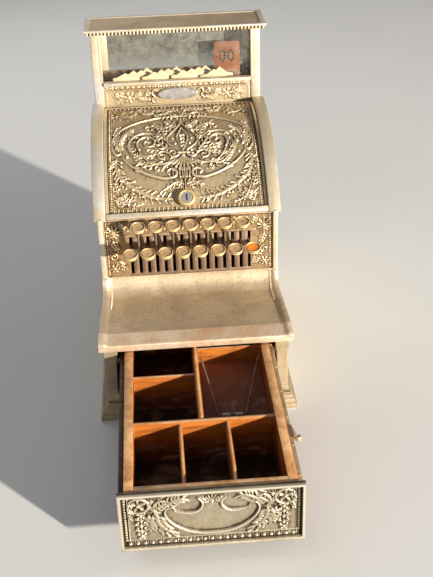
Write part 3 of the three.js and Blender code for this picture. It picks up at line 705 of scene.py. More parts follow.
MAT = {
    # The rails' grey-white tint is a painted reflection of a pale sky.
    "rail": smooth_brass("rail_brass", (0.77, 0.67, 0.49), (0.62, 0.52, 0.37), (0.34, 0.25, 0.15), 0.5,
                         (0.70, 0.68, 0.68)),
    "apron": smooth_brass("apron_brass", (0.74, 0.605, 0.425), (0.52, 0.41, 0.28), (0.22, 0.15, 0.10),
                          0.75),
    "lip": smooth_brass("lip_brass", (0.92, 0.76, 0.58), (0.76, 0.58, 0.42), (0.40, 0.28, 0.19), 0.7,
                        (0.74, 0.41, 0.21)),
    "cornice": smooth_brass("cornice_brass", (0.63, 0.47, 0.29), (0.46, 0.34, 0.205), (0.21, 0.14, 0.09),
                            0.8),
    "base": smooth_brass("base_brass", (0.60, 0.48, 0.31), (0.40, 0.31, 0.20), (0.20, 0.13, 0.07), 0.6),
    "lid": cast_brass("lid_brass", (0.09, 0.06, 0.035), (0.52, 0.405, 0.255), (0.72, 0.58, 0.395),
                      (0.86, 0.75, 0.56)),
    "front": cast_brass("drawer_front_brass", (0.07, 0.05, 0.035), (0.31, 0.265, 0.19),
                        (0.46, 0.405, 0.295), (0.76, 0.69, 0.56)),
    "panel": cast_brass("panel_brass", (0.05, 0.03, 0.02), (0.36, 0.24, 0.13), (0.52, 0.38, 0.22),
                        (0.80, 0.66, 0.44)),
    "key": smooth_brass("key_brass", (0.80, 0.60, 0.32), (0.62, 0.44, 0.22), (0.32, 0.21, 0.10), 0.35),
    "lever": smooth_brass("lever_metal", (0.40, 0.29, 0.19), (0.25, 0.17, 0.11), (0.10, 0.07, 0.05), 0.5),
    "bar": smooth_brass("slot_bar_metal", (0.36, 0.24, 0.16), (0.22, 0.145, 0.10), (0.08, 0.055, 0.035),
                        0.8),
    "silver": plain_metal("plate_silver", (0.60, 0.58, 0.57), (0.42, 0.40, 0.39), 0.34, 0.6, 0.3),
    "steel": plain_metal("wire_steel", (0.46, 0.44, 0.42), (0.28, 0.26, 0.24), 0.4, 0.85, 0.4),
    "wire": plain_metal("bail_wire_steel", (0.34, 0.28, 0.24), (0.18, 0.14, 0.12), 0.45, 0.6, 0.5),
    # Painted shade: near-black brass for the cornice's neck behind its teeth and for the left runner, where
    # shadow lies.
    "dark": smooth_brass("painted_shade_recess", (0.11, 0.08, 0.055), (0.07, 0.05, 0.035), (0.03, 0.02, 0.015),
                         0.5),
    "works": plain_metal("works_steel", (0.24, 0.22, 0.20), (0.13, 0.12, 0.11), 0.5, 0.8, 0.4),
    "disc": enamel("key_disc", (0.60, 0.39, 0.21), (0.50, 0.30, 0.14)),
    "orange_disc": enamel("orange_disc", (0.86, 0.27, 0.03), (0.95, 0.5, 0.12)),
    "tablet": enamel("cream_enamel", (0.74, 0.64, 0.40), (0.52, 0.40, 0.22)),
    "orange": enamel("orange_enamel", (0.27, 0.078, 0.016), (0.14, 0.036, 0.012),
                     ((0.36, 0.26, 0.18), 347, 366)),
    "print": dark_print("dark_print", (0.045, 0.032, 0.025)),
    "faint": dark_print("faint_print", (0.30, 0.18, 0.08)),
    "glass": dusty_glass("dusty_glass", 0.02, 0.15, (0.25, 0.24, 0.2), (0.55, 0.53, 0.46)),
    "back_glass": dusty_glass("dusty_rear_glass", 0.7, 0.92, (0.035, 0.035, 0.03), (0.30, 0.295, 0.25)),
    "wood_y": varnished_wood("wood_lengthwise", "Y", (0.60, 0.18, 0.022), (0.25, 0.06, 0.012),
                             (0.92, 0.54, 0.25)),
    "wood_x": varnished_wood("wood_crosswise", "X", (0.62, 0.19, 0.02), (0.28, 0.07, 0.012),
                             (0.83, 0.54, 0.29)),
    "ramp": varnished_wood("ramp_wood", "X", (0.44, 0.13, 0.045), (0.25, 0.07, 0.028),
                           (0.38, 0.12, 0.045)),
    "floor": varnished_wood("wood_floor", "Y", (0.11, 0.055, 0.03), (0.05, 0.025, 0.015),
                            (0.16, 0.09, 0.05), 0.6),
    "board": varnished_wood("base_board_wood", "Y", (0.22, 0.13, 0.07), (0.12, 0.07, 0.04),
                            (0.30, 0.2, 0.12), 0.4),
    "strip": smooth_brass("runner_strip", (0.60, 0.50, 0.33), (0.42, 0.33, 0.20), (0.20, 0.14, 0.08),
                          0.5),
}


# ---- lid ------------------------------------------------------------------------------------
LID_GROUND = LID_R - 2.4
LID_REACH = math.radians(LID_TO - LID_FROM) * LID_R


def lid_place(x, along, height):
    depth, z = arc_point(LID_GROUND + height, LID_TO - np.degrees(along / LID_R))
    return x, to_y(depth), z


def lid_back(x, along):
    depth, z = arc_point(213.4, LID_TO - np.degrees(along / LID_R))
    return x, to_y(depth), z


def lid_border(r):
    half, top = LID_HALF, LID_REACH
    for side in (-1, 1):
        r.plate((side * half, 0), (side * (half - 4.2), top), 2.2)
        r.stroke([(side * (half - 5.6), 8), (side * (half - 5.6), top - 8)], 1.3, 1.3)
        r.bead_row((side * (half - 8.1), 10), (side * (half - 8.1), top - 8), 3.5, 1.45, 1.9)
        r.stroke([(side * (half - 10.8), 14), (side * (half - 10.8), top - 12)], 1.2, 1.1)
    r.plate((-half, 0), (half, 7), 2.2)
    r.plate((-half, top - 5), (half, top), 2.2)
    for y, size in ((11.5, 4.4), (top - 9.5, 3.6)):
        for x in np.arange(-half + 11, half - 10, 6.0):
            r.stroke([(x, y - size / 2), (x, y + size / 2)], 3.4, 1.9)
            r.stroke([(x + 3, y - size / 2), (x + 3, y + size / 2)], 1.2, 1.4)
        r.stroke([(-half + 9, y + 4.4), (half - 9, y + 4.4)], 1.2, 1.2)


def lid_oval(r):
    """The big oval moulding, broken at both sides and opening into volutes at its foot."""
    mid = (0, 118)
    upper = oval(mid, 98, 63.5, -10, 190, 120)
    r.scroll(upper, 4.0, 2.3, taper=(0.5, 0.8, 1, 1, 1, 0.8, 0.5))
    hook = smooth_line([(96.4, 107), (92, 99.5), (86.5, 101), (87, 106)])
    lower = oval(mid, 90, 64.5, -18, -72, 60)
    curl = smooth_line([tuple(lower[-1]), (14, 58.5), (11, 66), (17, 71.5), (24, 67), (21, 62.5)])
    for points, taper in ((hook, (1, 0.9, 0.4)), (lower, (0.5, 1, 1)), (curl, (1, 1, 0.9, 0.5))):
        r.scroll(points, 4.4, 2.6, taper=taper)
    for x in (2.6, 6.2):
        r.stroke([(x, 58), (x * 1.2, 72)], 2.6, 2.0)


def lid_centre(r):
    """Lozenge with its cap, the twin volutes beside it and the fan below."""
    r.band([(0, 166), (3, 156), (11, 143), (20, 130), (21, 119), (14, 110), (6, 103), (5, 98)], 3.4, 2.5)
    r.band([(0, 150), (4, 139), (7.5, 129), (5, 116), (0, 103)], 2.6, 2.3)
    for k in range(4):
        r.stroke([(-3 + 0.4 * k, 134 - 7 * k), (3 - 0.4 * k, 131 - 7 * k)], 2.0, 1.6)
    r.scroll([(0, 98), (8, 98)], 3.0, 2.6, taper=(1, 1))
    r.volute((13.5, 98.5), 8.5, 200, 1.35, 3.2, 2.6)
    r.volute((29, 93.5), 9.5, 150, -1.4, 3.2, 2.6)
    r.fan((0, 93), 24, 270, 96, 7, 2.6)
    r.leaf([(10, 92), (16, 83), (27, 75), (31, 69)], 9, 2.3, 3)


def lid_scrolls(r):
    """The sweeping side scrolls with their leaves."""
    r.band([(12, 86), (28, 80), (44, 82), (54, 92), (60, 104)], 3.6, 2.6, taper=(0.7, 1, 0.8))
    r.volute((48, 119), 17, -45, 1.5, 4.0, 2.7, 2.0)
    r.scroll(oval((50, 114), 25, 26, -60, 120), 3.2, 2.3, taper=(0.4, 1, 0.9, 0.4))
    r.leaf([(30, 84), (48, 78), (59, 85), (67, 97), (73, 110)], 11, 2.4, 7)
    r.band([(58, 84), (66, 78), (66, 71), (60, 70), (60, 74)], 2.8, 2.3)
    r.leaf([(56, 92), (63, 98), (68, 106)], 8, 2.0, 3)
    r.leaf([(22, 104), (32, 118), (36, 132), (31, 144)], 13, 2.5, 4)
    r.leaf([(24, 124), (26, 138), (31, 150), (34, 160)], 12, 2.4, 4)
    r.leaf([(34, 104), (45, 106), (54, 112)], 10, 2.0, 3)
    r.volute((47, 151), 6.5, 210, -1.2, 2.2, 1.8, 1.2)
    r.band([(22, 150), (12, 158), (9, 168)], 2.4, 2.2)
    r.volute((14, 146), 6, 120, 1.1, 2.4, 2.2)
    r.bead((77, 96), 2.3, 2.2)
    r.stroke([(77, 96), (80, 89)], 1.6, 1.2, taper=(1, 0.3))


def lid_sprigs(r):
    """Leaf sprigs and berries that fill the ground between the scrolls."""
    r.leaf([(6, 152), (14, 158), (20, 166), (20, 174)], 11, 2.5, 4)
    r.leaf([(16, 140), (26, 152), (38, 158), (46, 168)], 12, 2.4, 5)
    r.leaf([(20, 128), (30, 132), (40, 142)], 9, 2.1, 3)
    r.leaf([(40, 96), (52, 94), (62, 98)], 8, 2.0, 3)
    r.leaf([(30, 100), (38, 97), (46, 99)], 7, 2.0, 3)
    r.leaf([(66, 104), (74, 114), (79, 124)], 9, 1.9, 4)
    r.leaf([(60, 132), (70, 138), (74, 146)], 7, 1.7, 3)
    r.fan((5, 79), 9, 60, 100, 4, 2.2)
    r.volute((63, 72), 5, 190, -1.2, 2.4, 2.1, 1.0)
    r.volute((38, 72), 4.5, 90, 1.2, 2.2, 2.0, 1.0)
    r.garland([(87, 112), (86, 126), (80, 140), (69, 153)], 9, 1.9, 15)
    for x, y, size in ((40, 112, 2), (33, 127, 1.6), (66, 122, 1.5), (10, 116, 1.8), (13, 126, 1.4),
                       (54, 140, 1.5), (27, 88, 1.6), (60, 86, 1.5), (48, 128, 1.6), (74, 130, 1.3)):
        r.bead((x, y), size, 2.0)
    for x in (11, 15.5):
        r.stroke([(x, 60), (x * 1.04, 71)], 2.4, 2.1)


def lid_edges(r):
    """Palmette and curls at the top, vines and flowers in the corners, swags at the foot."""
    r.fan((0, 183), 12, 90, 210, 9, 2.7)
    r.fan((0, 183), 10, 270, 120, 5, 2.4)
    r.band([(8, 182), (18, 190), (29, 190), (37, 184)], 4.2, 2.5)
    r.volute((33, 186), 5, 300, 1.1, 3.0, 2.4)
    for x, lean in ((13, 0.4), (19, 0.9), (25, 1.5)):
        r.stroke([(x, 176), (x + 2 * lean, 184)], 3.2, 2.3)
    r.leaf([(6, 201), (20, 207), (36, 206), (52, 211)], 12, 2.5, 6)
    r.leaf([(38, 196), (50, 197), (60, 203)], 9, 2.2, 4)
    r.volute((56, 207), 6, 180, -1.2, 3.0, 2.4)
    r.volute((22, 198), 6.5, 90, 1.2, 3.2, 2.5)
    r.volute((8, 208), 5, 200, -1.1, 3.0, 2.4)
    r.band([(62, 197), (73, 188), (86, 192), (95, 206)], 2.4, 1.8)
    for x, y, a in ((68, 194, 60), (75, 187, 200), (83, 197, 100), (89, 194, 300), (94, 209, 80),
                    (64, 203, 120), (97, 182, 250), (79, 181, 230), (86, 205, 60), (92, 188, 10),
                    (72, 206, 140)):
        r.teardrop((x, y), polar((x, y), 6, a), 3.6, 2.0)
    for x, y in ((72, 200), (80, 206), (91, 186), (97, 197), (64, 189), (86, 180), (76, 194)):
        r.bead((x, y), 1.7, 1.9)
    r.garland([(86, 158), (91, 143), (91, 124), (86, 108)], 8, 1.8, 5)
    r.garland([(92, 92), (93, 76), (85, 58), (64, 40), (42, 29), (18, 26)], 15, 2.4, 6)
    r.leaf([(3, 47), (12, 50), (22, 44), (34, 36)], 10, 2.3, 4)
    r.leaf([(4, 52), (9, 43), (12, 34)], 7, 2.0, 3)
    r.scroll([(0, 70), (0, 40)], 2.6, 2.2, taper=(1, 0.6, 1))
    r.leaf([(78, 21), (84, 30), (89, 42)], 12, 2.5, 4)
    r.leaf([(82, 24), (91, 28), (98, 36)], 10, 2.3, 4)
    r.leaf([(92, 40), (95, 50), (93, 60)], 9, 2.1, 3)
    r.leaf([(76, 26), (72, 34), (76, 43)], 8, 2.1, 3)
    r.volute((88, 22), 5, 20, -1.2, 2.6, 2.3, 1.2)
    for x, y, size in ((80, 36, 1.9), (94, 24, 1.7), (85, 48, 1.8), (71, 20, 1.9), (98, 44, 1.6),
                       (88, 56, 1.5)):
        r.bead((x, y), size, 2.1)
    r.leaf([(80, 24), (68, 18), (58, 22)], 8, 2.0, 3)


def lid():
    r = Relief((-LID_HALF, 0), (LID_HALF, LID_REACH), 0.72, fine=0.8)
    lid_oval(r)
    lid_centre(r)
    lid_scrolls(r)
    lid_sprigs(r)
    lid_edges(r)
    r.twin()
    r.height *= 1.15
    lid_border(r)
    skin = relief_piece("lid_relief", r, lid_place, lid_back, MAT["lid"], 0.03, 0, 11, contrast=0.74)
    settle(skin, "lid", ["lid"])
    angles = np.linspace(141.3, LID_TO, 3)
    ends = [arc_point(RAIL_R, a) for a in angles] + [arc_point(214, a) for a in angles[::-1]]
    bar = extruded([(to_y(d), z) for d, z in ends], -LID_HALF, LID_HALF, "X", 1.2, 3)
    piece_of("lid_foot_bar", [bar], MAT["rail"], "lid")
    pin_low, pin_high = node_box("lid_hinge_pin")
    centre = (pin_low + pin_high) / 2
    knuckles = []
    for x in (-80, 80):
        profile = [(3.3, -10), (6, -10), (6.5, -9.4), (6.5, 9.4), (6, 10), (3.3, 10)]
        knuckles.append(turned(profile, (x, centre[1], centre[2]), (1, 0, 0), 28))
    piece_of("lid_hinge_knuckles", knuckles, MAT["base"], "lid")


lid()


# ---- drawer front ---------------------------------------------------------------------------
FACE_LOW, FACE_HIGH = node_box("drawer_front")
FACE_HALF = FACE_HIGH[0]
FACE_RISE = FACE_HIGH[2] - FACE_LOW[2]
FACE_SINK = 5.0


def face_border(r):
    half, rise = FACE_HALF, FACE_RISE
    for side in (-1, 1):
        r.channel((side * (half - 3), 4), (side * (half - 9.6), rise - 4), 1.4)
        r.plate((side * half, 0), (side * (half - 3.6), rise), FACE_SINK)
        r.bead_row((side * (half - 6.6), 12), (side * (half - 6.6), rise - 7), 3.6, 1.5, 1.3)
        r.stroke([(side * (half - 10), 11), (side * (half - 10), rise - 6)], 1.2, 1.3)
    r.plate((-half, 0), (half, 3.2), FACE_SINK)
    r.plate((-half, rise - 3.4), (half, rise), FACE_SINK)
    r.bead_row((-half + 8, rise - 5.6), (half - 8, rise - 5.6), 3.5, 1.4, 2.2)
    r.stroke([(-half + 8, rise - 8), (half - 8, rise - 8)], 1.1, 1.2)
    for x in np.arange(-half + 10.5, half - 8, 8.1):
        r.stroke([(x - 0.4, 7.4), (x + 0.4, 7.4)], 4.0, 3.1)
        for step in (3.2, 4.9):
            r.stroke([(x + step, 5.4), (x + step, 9.6)], 1.1, 2.4)
    r.stroke([(-half + 8, 12.0), (half - 8, 12.0)], 1.2, 1.4)


def face_cartouche(r):
    """The blank shield in the middle, drawn on the right and copied to the left."""
    r.band([(0, 17.2), (16, 18.4), (32, 24.5), (45, 35), (51, 47), (48, 55), (42, 55.5), (40, 51)], 3.2,
           2.3, taper=(1, 1, 0.9, 0.6))
    r.band([(41, 50), (30, 47.5), (19, 47.5), (11.5, 53), (10.5, 60), (15, 66.5)], 3.4, 2.3,
           taper=(0.35, 0.9, 1, 0.6))
    r.fan((0, 60.5), 9.5, 90, 150, 7, 2.2)
    r.leaf([(5, 60), (9, 65), (15, 69)], 6.5, 2.0, 3)


def face_leaves(r):
    r.leaf([(49, 60), (41, 65), (33, 67), (24, 63)], 15, 2.4, 5)
    r.leaf([(60, 55), (52, 61), (44, 61)], 12, 2.2, 4)
    for x, y, a in ((57, 27, 250), (52, 22, 235), (63, 36, 260), (45, 19, 215), (64, 52, 60),
                    (58, 68, 150)):
        r.teardrop((x, y), polar((x, y), 8, a), 5.2, 2.4, 0.5)
    r.band([(56, 48), (62, 53), (62, 61), (56, 66), (50, 65)], 3.0, 2.2, taper=(0.5, 1, 0.8))
    r.leaf([(60, 47), (58, 35), (50, 25), (37, 18)], 17, 2.4, 6)
    r.leaf([(64, 45), (66, 32), (61, 21)], 13, 2.3, 5)
    r.volute((62, 31), 5, 90, -1.2, 2.0, 2.0)
    r.leaf([(66, 60), (62, 50), (58, 42)], 7, 1.9, 3)
    r.bead((68.5, 45), 2.0, 1.9)


def face_rosette(r):
    r.scroll(oval((79, 61), 11, 9.6, 30, 330), 2.8, 2.3, taper=(0.6, 1, 1, 0.6))
    r.flower((79, 61), 8.4, 5, 2.4, 14)
    r.leaf([(88, 64), (91, 56), (87, 49)], 9, 2.2, 3)
    for y, size in ((47, 5.0), (40, 6.4), (32.5, 7.2), (24.5, 6.4), (18, 4.6)):
        for side in (-1, 1):
            r.teardrop((77, y), (77 + side * size * 0.82, y + 2.8), 4.0, 2.3, 0.4)
            r.bead((77 + side * size * 0.55, y - 2.2), 1.7, 2.1)
        r.bead((77, y + 0.5), 2.3, 2.5)
    r.stroke([(77, 52), (77, 16)], 1.6, 1.6)
    r.leaf([(86, 53), (89, 46), (85, 40)], 7, 2.0, 3)
    r.leaf([(70, 62), (66, 66), (60, 68)], 7, 2.0, 3)


def drawer_front():
    r = Relief((-FACE_HALF, 0), (FACE_HALF, FACE_RISE), 0.62)
    face_cartouche(r)
    face_leaves(r)
    face_rosette(r)
    r.twin()
    r.height *= 1.85
    face_border(r)
    place, back = upright(FACE_LOW[1] + FACE_SINK, FACE_HIGH[1], FACE_LOW[2])
    plate = relief_piece("drawer_front_relief", r, place, back, MAT["front"], 0.02, 0, 21, contrast=0.52)
    settle(plate, "drawer", ["drawer_front"])


# ---- frieze, sill and nameplate ----------------------------------------------------------------
def frieze():
    low, high = node_box("frieze")
    half, foot, ground = high[0], low[2], to_y(DISPLAY_FRONT + 1.6)
    sill = 345.5
    r = Relief((-half, 0), (half, sill - foot), 0.68)
    for x in np.arange(0, half - 6, 8.2):
        r.stroke([(x - 0.4, 27), (x + 0.4, 27)], 4.2, 2.4)
        for twin in (3.3, 4.9):
            r.stroke([(x + twin, 24.9), (x + twin, 29.3)], 1.2, 1.6)
    r.stroke([(0, 23.2), (half - 4, 23.2)], 1.2, 1.2)
    r.band([(29.5, 19.5), (35, 21.2), (38, 16), (34.5, 11.5), (38, 7.5), (35.5, 2.6), (30, 4)], 3.2, 2.8,
             taper=(0.7, 1, 0.7))
    r.volute((43.5, 16.5), 4.4, 80, -1.4, 2.4, 2.4)
    r.leaf([(41, 10), (44, 7), (49, 5)], 6, 2.1, 3)
    r.leaf([(46, 7), (54, 8), (60, 13)], 8, 1.9, 4)
    r.flower((72, 11), 8.5, 6, 2.0, 12)
    r.leaf([(63, 11), (57, 15), (52, 18)], 8, 1.8, 4)
    r.leaf([(80, 12), (88, 16), (95, 12)], 10, 1.9, 4)
    r.leaf([(80, 8), (87, 5), (96, 6)], 8, 1.8, 4)
    r.twin()
    for side in (-1, 1):
        r.bead_row((side * (half - 3), 3), (side * (half - 3), 20), 3.2, 1.1, 1.5)

    place, back = upright(ground, to_y(DISPLAY_FRONT + 5), foot)
    plate = relief_piece("frieze_relief", r, place, back, MAT["lid"], 0.02, 0, 31, contrast=0.7)
    settle(plate, "cabinet", ["frieze"])
    strip = bar_mesh((-half, to_y(DISPLAY_FRONT + 2.4), foot - 9),
                     (half, to_y(DISPLAY_FRONT + 5), foot + 1.5), 0.4)
    piece_of("frieze_foot_strip", [strip], MAT["base"], "cabinet")
    rail = bar_mesh((-half, low[1], sill + 0.1), (half, high[1], high[2]), 1.4, 4)
    fillet = bar_mesh((-half, low[1] + 1.8, sill - 1.3), (half, to_y(DISPLAY_FRONT + 1), sill + 0.5), 0.6)
    piece_of("display_sill", [rail, fillet], MAT["rail"], "cabinet")


def nameplate():
    low, high = node_box("nameplate")
    middle_z = (low[2] + high[2]) / 2
    verts, faces = turned([(0, 0), (1, 0), (1, 4.4), (0.965, 5.0), (0.93, 5.0), (0.90, 4.3), (0.6, 4.5),
                           (0, 4.6)], (0, 0, 0), (0, -1, 0), 72)
    verts = verts * np.array([high[0], 1, (high[2] - low[2]) / 2]) + np.array([0, high[1], middle_z])
    piece_of("oval_plate", [(verts, faces)], MAT["silver"], "cabinet", ["nameplate"])


# ---- keyboard ---------------------------------------------------------------------------------
def key_x(i):
    low, high = node_box(f"key_{i:02d}")
    return (low[0] + high[0]) / 2


def keyboard_end(r):
    """The ornament on the panel's ends and along its top, drawn on the right."""
    r.fan((102.5, 66), 11, 90, 220, 7, 1.9)
    r.fan((102.5, 66), 9, 270, 120, 5, 1.7)
    r.leaf([(102.5, 54), (99, 44), (97, 36)], 9, 1.8, 4)
    r.volute((103, 30), 6, 100, 1.5, 2.2, 1.8)
    r.volute((97, 20), 5, 280, -1.4, 2.0, 1.7)
    r.flower((103, 12), 6.5, 6, 1.8)
    r.leaf([(92, 8), (90, 16), (93, 24)], 7, 1.6, 3)
    for x in np.arange(4, 86, 8.2):
        r.band([(x - 4, 76), (x - 1.5, 79.5), (x + 1.5, 79.5), (x + 4, 76)], 1.8, 1.5, taper=(0.6, 1, 0.6))
        r.teardrop((x, 64), (x, 73), 3.0, 1.5, 0.4)
        r.bead((x + 4.1, 68), 1.3, 1.4)
    r.leaf([(86, 70), (90, 76), (92, 82)], 8, 1.6, 3)


def keyboard_panel():
    low, high = node_box("keyboard_panel")
    half, foot, top = high[0], low[2], high[2]
    ends = (key_x(0) - 2.0, key_x(KEYS - 1) + 2.0)
    r = Relief((-half, 0), (half, top - foot), 0.85)
    keyboard_end(r)
    r.twin()
    for side in (-1, 1):
        r.plate((side * half, 0), (side * (half - 1.6), top - foot), 1.6)
        r.bead_row((side * (half - 3.2), 3), (side * (half - 3.2), top - foot - 3), 3.1, 1.1, 1.5)
    r.plate((-half, top - foot - 2.2), (half, top - foot), 1.5)
    r.stroke([(-half + 4, 60.5), (half - 24, 60.5)], 1.3, 1.2)
    wear = r.finish(0, 0.03, 41, 1.3)
    ground = low[1] + 1.8
    band = sub_relief(r, wear, (-half, 58.9), (half, top - foot))
    spans = (((-half, 0), (ends[0], 58.9)), ((ends[1], 0), (half, 58.9)))
    parts = [band] + [sub_relief(r, wear, *span) for span in spans]
    place, _ = upright(ground, high[1], foot)
    placed = [grid_solid(*part, place, high[1]) for part in parts]
    verts, faces = merge([(v, f) for v, f, _ in placed])
    wear_and_painted_light_values = np.concatenate([w for _, _, w in placed])
    plate = make_piece("keyboard_relief", verts, faces, MAT["panel"], wear=wear_and_painted_light_values)
    plate.data.set_sharp_from_angle(angle=RELIEF_EDGE)
    settle(plate, "cabinet", ["keyboard_panel"])
    keyboard_bars(low, high, ends)


def keyboard_bars(low, high, ends):
    """Upright bars between the key slots, each a little different."""
    rng = np.random.default_rng(5)
    bars = []
    for i in range(KEYS - 1):
        x0, x1 = key_x(i) + 2.0, key_x(i + 1) - 2.0
        front = low[1] + 0.3 + 0.35 * rng.random()
        bars.append(bar_mesh((x0, front, low[2] + 1.6), (x1, high[1] - 0.4, low[2] + 59.2), 1.1, 3))
        bars.append(bar_mesh((x0 + 1.5, front - 0.55, low[2] + 5), (x1 - 1.5, front + 1, low[2] + 56),
                             0.5, 2))
    bars.append(bar_mesh((ends[0], low[1] + 0.4, low[2]), (ends[1], high[1], low[2] + 3.7), 0.8))
    piece_of("slot_bars", bars, MAT["bar"], "cabinet")


def sub_relief(r, wear, low, high):
    """The part of a relief inside a rectangle, with its edge exactly on it."""
    i0, i1 = np.abs(r.x - low[0]).argmin(), np.abs(r.x - high[0]).argmin() + 1
    j0, j1 = np.abs(r.y - low[1]).argmin(), np.abs(r.y - high[1]).argmin() + 1
    x, y = r.x[i0:i1].copy(), r.y[j0:j1].copy()
    x[0], x[-1], y[0], y[-1] = low[0], high[0], low[1], high[1]
    return x, y, r.height[j0:j1, i0:i1], wear[j0:j1, i0:i1]


def grid_solid(x, y, height, wear, place, back_y):
    """A closed plate from part of a relief, with a flat back at back_y."""
    rows, cols = height.shape
    gx, gy = np.meshgrid(x, y)
    front = np.stack(place(gx, gy, height), -1).reshape(-1, 3)
    corner = np.stack(place(gx[[0, -1]][:, [0, -1]], gy[[0, -1]][:, [0, -1]], np.zeros((2, 2))),
                      -1).reshape(-1, 3)
    corner[:, 1] = back_y
    at = np.arange(rows * cols).reshape(rows, cols)
    b = rows * cols
    faces = np.stack([at[:-1, :-1], at[:-1, 1:], at[1:, 1:], at[1:, :-1]], -1).reshape(-1, 4).tolist()
    faces.append([*at[0, ::-1].tolist(), b, b + 1])
    faces.append([*at[-1].tolist(), b + 3, b + 2])
    faces.append([*at[:, 0].tolist(), b + 2, b])
    faces.append([*at[::-1, -1].tolist(), b + 1, b + 3])
    faces.append([b, b + 2, b + 3, b + 1])
    return np.vstack([front, corner]), faces, np.concatenate([wear.reshape(-1), np.full(4, 0.3)])


drawer_front()
frieze()
nameplate()
keyboard_panel()


# ---- apron ------------------------------------------------------------------------------------
def apron_line():
    """The apron's section as [depth, z], from the foot of the lip to the keyboard."""
    curve = [(100 + 22 * math.sin(a), 141 - 23 * math.cos(a)) for a in np.radians(np.linspace(0, 90, 16))]
    lip = [(-3, 100.2), (-3.3, 101.6), (-3.3, 107.0), (-2.6, 108.9), (-0.6, 109.8), (14.6, 114.2),
           (17.5, 115.1)]
    return np.array(lip + [(58, 116.6), (92, 117.8)] + curve + [(126.3, 141.1)])


def apron_spread(depth):
    """How much wider the apron is than the keyboard at a depth."""
    return 1 + 0.0412 * np.clip((100 - depth) / 103, 0, 1)


def apron():
    line = apron_line()
    run = run_of(line)
    half = BODY_HALF
    r = Relief((-half, 0), (half, run[-1]), 1.3)
    keep = [v for v in run if np.abs(r.y - v).min() > 0.2]
    r.y = np.sort(np.concatenate([r.y, keep]))
    r.height = np.zeros((len(r.y), len(r.x)))
    for side in (-1, 1):
        r.plate((side * half, 8), (side * (half - 8.6), run[-1] - 5.2), 3.0)
    normal = np.stack([-np.gradient(line[:, 1], run), np.gradient(line[:, 0], run)], -1)
    normal[0] = normal[1] = normal[2] = (-1, 0)

    def place(x, along, height):
        depth, z = np.interp(along, run, line[:, 0]), np.interp(along, run, line[:, 1])
        lean, lift = np.interp(along, run, normal[:, 0]), np.interp(along, run, normal[:, 1])
        wide = apron_spread(depth)
        return x * wide, to_y(depth + height * lean), np.maximum(z + height * lift, 100.2)

    def back(x, along):
        depth = np.interp(along, run, line[:, 0])
        wide = apron_spread(depth)
        return x * wide, to_y(np.maximum(depth, 0.0)), np.full_like(x, 100.2)

    shelf = relief_piece("apron_shell", r, place, back, MAT["apron"], grain=0.0, soften=1, seed=51)
    settle(shelf, "cabinet", ["apron"])
    hide = [f.index for f in shelf.data.polygons if f.center.y < to_y(17.2) * MM]
    shelf.data.materials.append(MAT["lip"])
    for index in hide:
        shelf.data.polygons[index].material_index = 1


def apron_beads():
    """A column of beads up each side of the cove, on the flat beside the raised rims."""
    line = apron_line()
    run = run_of(line)
    beads = []
    for along in np.arange(run[-1] - 62, run[-1] - 4, 3.9):
        depth, z = np.interp(along, run, line[:, 0]), np.interp(along, run, line[:, 1])
        lean = np.interp(along + 1, run, line[:, 0]) - depth
        lift = np.interp(along + 1, run, line[:, 1]) - z
        wide = apron_spread(depth)
        for side in (-1, 1):
            centre = (side * (BODY_HALF - 11.4) * wide, to_y(depth), z)
            dome = [(0, -0.8), (1.7, -0.8), (1.7, 0.2), (1.2, 1.1), (0.5, 1.5), (0, 1.55)]
            beads.append(turned(dome, centre, (0, -lift, lean), 12))
    piece_of("apron_beads", beads, MAT["rail"], "cabinet")


# ---- sides of the upper cabinet ------------------------------------------------------------------
def arc_strip(inner, outer, start, end, x0, x1, bevel):
    """A band of the lid's arc with rounded outer edges, cut level at its foot."""
    x0, x1 = sorted((x0, x1))
    angles = np.linspace(start, end, 26)
    cut = bevel * 0.3
    section = [(x0, inner), (x0, outer - bevel), (x0 + cut, outer - cut), (x0 + bevel, outer),
               (x1 - bevel, outer), (x1 - cut, outer - cut), (x1, outer - bevel), (x1, inner)]
    verts = []
    for a in angles:
        for x, radius in section:
            depth, z = arc_point(radius, a)
            verts.append((x, to_y(depth), max(z, RAIL_FOOT)))
    return np.array(verts), swept_faces(len(angles), len(section))


def side_outline():
    back = 126.8
    arc = [arc_point(RAIL_R, a) for a in np.linspace(83.3, 142.8, 30)]
    top = DISPLAY_TOP
    return [(back, 100.3), (BODY_BACK, 100.3), (BODY_BACK, top), (DISPLAY_FRONT, top),
            (DISPLAY_FRONT, 318.6), *arc, (119, 229), (119, 141.3), (back, 141.3)]


